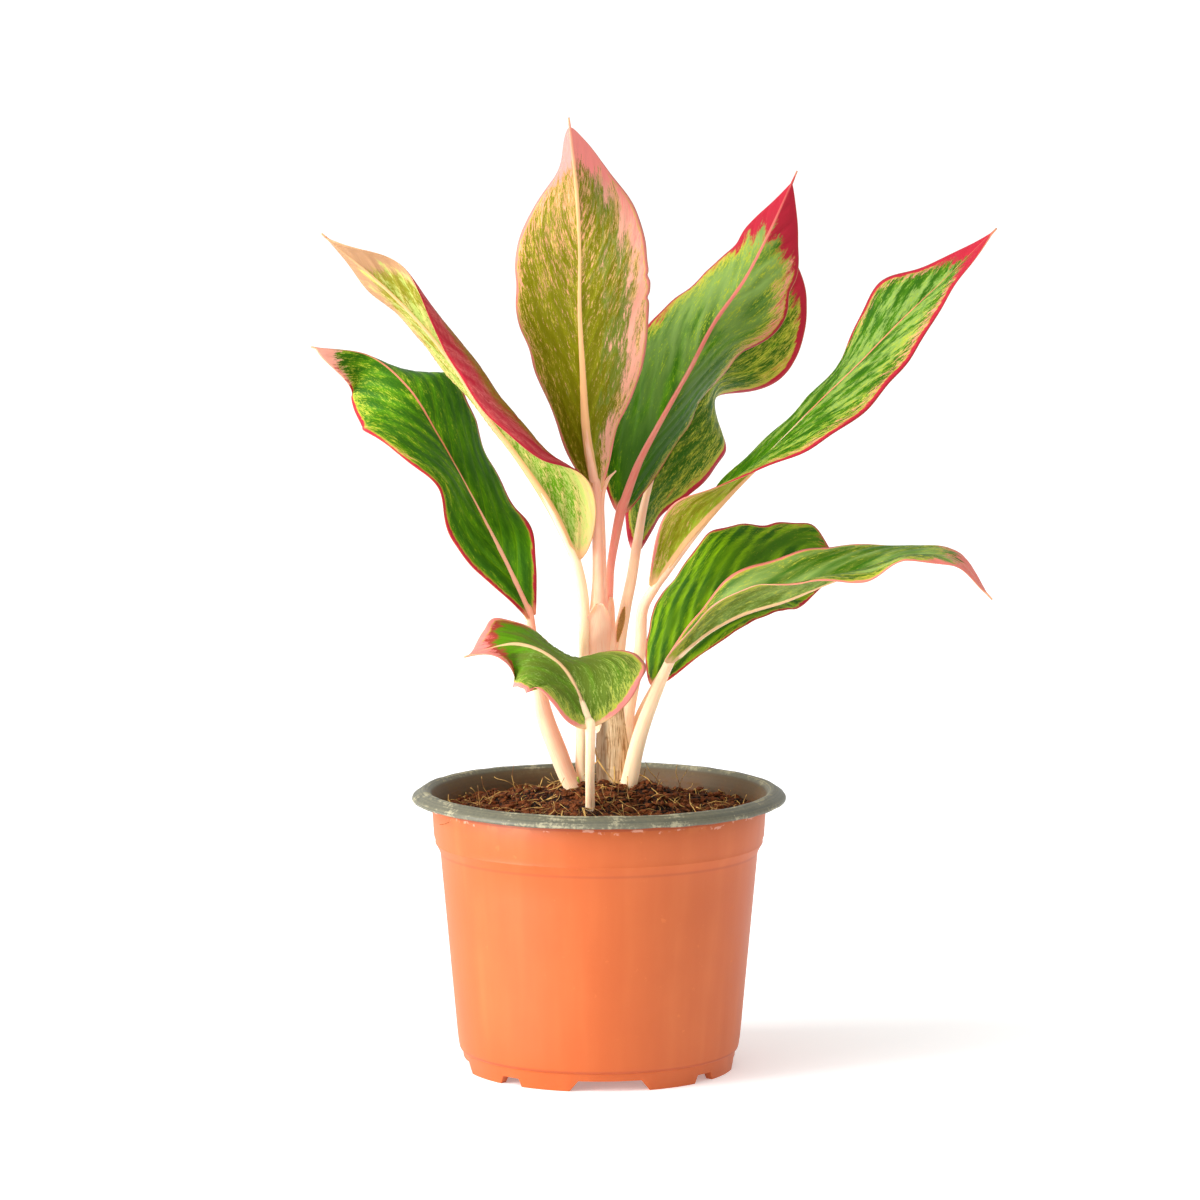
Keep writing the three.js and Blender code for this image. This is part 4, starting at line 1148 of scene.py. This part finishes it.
class EVERGREEN_OT_soil(bpy.types.Operator):
    """Fills the liner with crumbly soil, loose crumbs and coir strands"""

    bl_idname = "evergreen.soil"
    bl_label = "Soil"

    def execute(self, context):
        settings = context.scene.evergreen.soil
        chance = random.Random(settings.seed)
        self.add_bed(settings)
        self.add_crumbs(settings, chance)
        self.add_strands(settings, chance)
        return {"FINISHED"}

    def add_bed(self, settings):
        top = [(SOIL_RADIUS * i / SOIL_RINGS, SOIL_TOP) for i in range(SOIL_RINGS, -1, -1)]
        mesh = lathed(SOIL_OUTSIDE + top, SOIL_STEPS)
        for vert in mesh.verts:
            if vert.co.z > (SOIL_TOP - 0.1) * MM:
                vert.co.z = soil_height(settings, *off_axis(vert)) * MM
        finish_piece(mesh, "soil_bed", soil_finish(settings, "potting_soil", -0.08), "soil")

    def add_crumbs(self, settings, chance):
        """Doubles a ball until there are enough in a row, then shapes each and puts it in its place."""
        crumbs = bmesh.new()
        bmesh.ops.create_icosphere(crumbs, subdivisions=1, radius=1.0)
        apart = 10.0
        made = 1
        while made < settings.crumbs:
            whole = crumbs.verts[:] + crumbs.edges[:] + crumbs.faces[:]
            copy = bmesh.ops.duplicate(crumbs, geom=whole)["geom"]
            moved = [part for part in copy if isinstance(part, bmesh.types.BMVert)]
            bmesh.ops.translate(crumbs, verts=moved, vec=(apart * made, 0.0, 0.0))
            made *= 2
        places = []
        for _ in range(made):
            x, y = scattered(chance, CRUMB_REACH)
            size = 0.32 + 1.5 * chance.random() ** 4
            turned = Matrix.Rotation(chance.random() * math.tau, 3, "Z")
            sides = (1 + chance.random(), 1 + 0.5 * chance.random(), 0.45 + 0.6 * chance.random())
            shape = turned @ (Matrix.Diagonal(sides) * 0.75 * size)
            places.append((Vector((x, y, soil_height(settings, x, y) + size * 0.35)), shape))
        for vert in crumbs.verts:
            index = round(vert.co.x / apart)
            corner = vert.co - Vector((apart * index, 0.0, 0.0))
            corner *= 0.8 + 0.9 * noise.noise(corner * 2.1 + Vector((index * 3.7, 0.0, 0.0)))
            centre, shape = places[index]
            vert.co = in_place(*(centre + shape @ corner))
        finish_piece(crumbs, "soil_crumbs", soil_finish(settings, "soil_crumbs", 0.04), "soil", smooth=False)

    def add_strands(self, settings, chance):
        strands = bmesh.new()
        for _ in range(settings.fibres):
            x, y = scattered(chance, STRAND_REACH)
            heading, climb = chance.random() * math.tau, chance.random() ** 3
            reach = 4 + 13 * chance.random()
            thick = 0.07 + 0.11 * chance.random() ** 2
            bend = (chance.random() - 0.5) * 2.2
            rows = []
            for i in range(5):
                x += math.cos(heading) * reach / 4 * (1 - 0.7 * climb)
                y += math.sin(heading) * reach / 4 * (1 - 0.7 * climb)
                if math.hypot(x, y) > STRAND_LIMIT:
                    x, y = x * 0.97, y * 0.97
                heading += bend * 0.4 + (chance.random() - 0.5) * 0.7
                lift = 0.25 + climb * i * reach * 0.2 + math.sin(i * 1.3 + bend) * 0.5
                rows.append((x, y, soil_height(settings, x, y) + lift, thick, thick))
            wrapped(strands, rows, 4, 8)
        wrapped(strands, LOOSE_STRAND, 6, 14)
        finish_piece(strands, "coir_strands", fibre_finish(settings), "soil")


class EVERGREEN_OT_stalks(bpy.types.Operator):
    """Grows the cane, the leaf stalks, the bract, the bud and the papery sheaths"""

    bl_idname = "evergreen.stalks"
    bl_label = "Stalks"

    def execute(self, context):
        settings = context.scene.evergreen.stalks
        skin = stalk_finish(settings)
        for name, stalk in STALKS.items():
            self.add_stalk(name, stalk, skin)
        self.add_cane(settings)
        for index, name in enumerate(SHEATHS):
            self.add_sheath(settings, skin, name, index)
        mesh = bmesh.new()
        wrapped(mesh, BUD, 14, 16)
        finish_piece(mesh, "green_bud", bud_finish(), "main_stem")
        return {"FINISHED"}

    def add_stalk(self, name, stalk, skin):
        mesh = bmesh.new()
        pink = mesh.verts.layers.float.new("flush")
        low, high = stalk["flush"]
        top = stalk["rows"][-1][2]
        phase = len(name)

        def ribbed(share, angle):
            return 0.05 * math.sin(3 * angle + phase) + 0.03 * math.sin(7 * angle + 9 * share + phase)

        for vert in wrapped(mesh, stalk_rows(stalk), 28, 72, ribbed):
            climb = within((vert.co.z / MM - FLUSH_FOOT) / (top - FLUSH_FOOT))
            share = low + (high - low) * climb
            # Painted shade: the flush rises on the right side, away from the key lamp, and falls on the lit
            # left side.
            vert[pink] = share - 0.1 * vert[mesh.verts.layers.float_vector["run"]].x * (share > 0.2)
        finish_piece(mesh, name, skin, stalk["solid"])

    def add_cane(self, settings):
        mesh = bmesh.new()
        scar = mesh.verts.layers.float.new("scar")

        def hump(height, angle, ring, spread):
            """1 on a tilted leaf-scar ring, falling off above and below it."""
            return math.exp(-(((height + 0.8 * math.sin(angle + ring) - ring) / spread) ** 2))

        def ringed(share, angle):
            height = CANE[0][2] + (CANE[-1][2] - CANE[0][2]) * share
            return sum(0.14 * hump(height, angle, ring, 0.55) for ring in CANE_RINGS)

        for vert in wrapped(mesh, CANE, 36, 140, ringed):
            x, y = off_axis(vert)
            angle = math.atan2(y - CANE_MIDDLE[1], x - CANE_MIDDLE[0])
            ring = max(hump(vert.co.z / MM + 0.7, angle, ring, 0.4) for ring in CANE_RINGS)
            vert[scar] = min(1.0, ring * 0.25 + within((-math.cos(angle) - 0.3) * 2.4))
        finish_piece(mesh, "cane", cane_finish(settings), "main_stem")

    def add_sheath(self, settings, skin, name, index):
        stalk, first, last, angle, sweep, flush = SHEATHS[name]
        mesh = bmesh.new()
        pink = mesh.verts.layers.float.new("flush")
        run = mesh.verts.layers.float_vector.new("run")
        for vert in unit_grid(mesh, 26, 50):
            turn, climb = vert.co.x * 2, vert.co.y + 0.5
            share = first + (last - first) * climb
            x, y, z, across, deep = along_rows(STALKS[stalk]["rows"], share)
            _, left, back = directions(STALKS[stalk]["rows"], share)
            narrowing = 1 - 0.85 * climb**3 if flush else math.sin(math.pi * (0.06 + 0.9 * climb))
            heading = math.radians(angle + sweep / 2 + turn * sweep / 2 * narrowing)
            free = abs(turn) ** 4 * (0.5 + 0.9 * climb) + 0.25
            free += 0.12 * noise.noise(Vector((turn * 2, climb * 9, index)))
            vert[run] = (turn * 4, climb * 30, index)
            vert[pink] = flush + 0.3 * abs(turn) ** 3 - 0.2 * climb
            offset = round_run(left, back, heading, across + free, deep + free)
            vert.co = in_place(*(Vector((x, y, z)) + offset))
        cover = skin if flush else dry_finish()
        piece = finish_piece(mesh, name, cover, STALKS[stalk]["solid"], closed=False)
        wall = piece.modifiers.new("wall", "SOLIDIFY")
        wall.thickness, wall.offset = settings.sheath, 0.0
        settle(piece)


class EVERGREEN_OT_blades(bpy.types.Operator):
    """Shapes the nine blades and gives each its colours"""

    bl_idname = "evergreen.blades"
    bl_label = "Blades"

    def execute(self, context):
        for seed, name in enumerate(BLADES, 1):
            blade_piece(name, context.scene.evergreen.blades, seed)
        return {"FINISHED"}


class EVERGREEN_OT_stage(bpy.types.Operator):
    """Sets the pale floor, the even sky, the soft lamps and the camera"""

    bl_idname = "evergreen.stage"
    bl_label = "Stage"

    def execute(self, context):
        settings = context.scene.evergreen.stage
        self.add_floor(settings)
        self.add_sky(context.scene, settings)
        for name, place, size, power in (
            ("key_lamp", Vector((-2.0, -0.75, 0.9)), (1.3, 1.7), settings.key),
            ("low_lamp", Vector((-1.35, -1.05, 0.36)), (0.7, 0.7), settings.low),
        ):
            look = {"shape": "RECTANGLE", "energy": power, "size": size[0], "size_y": size[1]}
            self.add_lamp(name, "AREA", look, Vector((0, 0, 0.15)) - place, place)
        look = {"energy": settings.sun, "angle": math.radians(50)}
        self.add_lamp("wide_sun", "SUN", look, Vector((0.8, 0.55, -1.7)))
        camera = new_object("camera", bpy.data.cameras.new("camera"))
        camera.data.lens, camera.data.sensor_width = settings.lens, 36.0
        camera.data.clip_start, camera.data.clip_end = 0.05, 200.0
        camera.data.dof.use_dof = False
        camera.location = in_place(*CAMERA_PLACE)
        camera.rotation_euler = (math.pi / 2 - settings.pitch, 0.0, 0.0)
        context.scene.camera = camera
        context.scene.view_settings.view_transform = "Standard"
        return {"FINISHED"}

    def add_floor(self, settings):
        mesh = bmesh.new()
        bmesh.ops.create_grid(mesh, x_segments=1, y_segments=1, size=60.0)
        floor = new_object("floor", mesh)
        finish = Finish("floor", settings)
        look = {"Base Color": "floor", "Roughness": 0.9, "Emission Strength": settings.glow}
        finish.add("OutputMaterial", inputs={"Surface": finish.add("BsdfPrincipled", inputs=look)})
        floor.data.materials.append(finish.data)

    def add_sky(self, scene, settings):
        """Even white light, and a brighter white where the camera sees it."""
        sky = Finish("sky", kind="worlds")
        seen = sky.add("LightPath", output="Is Camera Ray")
        strength = sky.add("MapRange", inputs={"Value": seen, "To Min": settings.sky, "To Max": 1.1})
        light = sky.add("Background", inputs={"Color": (1.0, 1.0, 1.0), "Strength": strength})
        sky.add("OutputWorld", inputs={"Surface": light})
        scene.world = sky.data

    def add_lamp(self, name, kind, look, aim, place=(0.0, 0.0, 0.0)):
        light = bpy.data.lights.new(name, kind)
        for key, value in look.items():
            setattr(light, key, value)
        lamp = new_object(name, light)
        lamp.location = place
        lamp.rotation_euler = aim.to_track_quat("-Z", "Y").to_euler()


OPERATORS = {
    EVERGREEN_OT_stage: "stage",
    EVERGREEN_OT_shell: "pot",
    EVERGREEN_OT_liner: "pot",
    EVERGREEN_OT_soil: "soil",
    EVERGREEN_OT_stalks: "stalks",
    EVERGREEN_OT_blades: "blades",
}


class EVERGREEN_PT_panel(bpy.types.Panel):
    """Lists the plant's operators and settings"""

    bl_label = "Evergreen"
    bl_idname = "EVERGREEN_PT_panel"
    bl_space_type = "VIEW_3D"
    bl_region_type = "UI"
    bl_category = "Evergreen"

    def draw(self, context):
        for operator, group in OPERATORS.items():
            settings = getattr(context.scene.evergreen, group)
            box = self.layout.box()
            box.operator(operator.bl_idname)
            for key in settings.__annotations__:
                box.prop(settings, key)


GROUPS = (PotSettings, SoilSettings, StalkSettings, BladeSettings, StageSettings, EvergreenSettings)
CLASSES = (*GROUPS, *OPERATORS, EVERGREEN_PT_panel)


def register():
    for cls in CLASSES:
        bpy.utils.register_class(cls)
    bpy.types.Scene.evergreen = bpy.props.PointerProperty(type=EvergreenSettings)


def unregister():
    del bpy.types.Scene.evergreen
    for cls in reversed(CLASSES):
        bpy.utils.unregister_class(cls)


def main():
    register()
    bpy.ops.evergreen.stage()
    bpy.ops.evergreen.shell()
    bpy.ops.evergreen.liner()
    bpy.ops.evergreen.soil()
    bpy.ops.evergreen.stalks()
    bpy.ops.evergreen.blades()


if __name__ == "__main__":
    main()
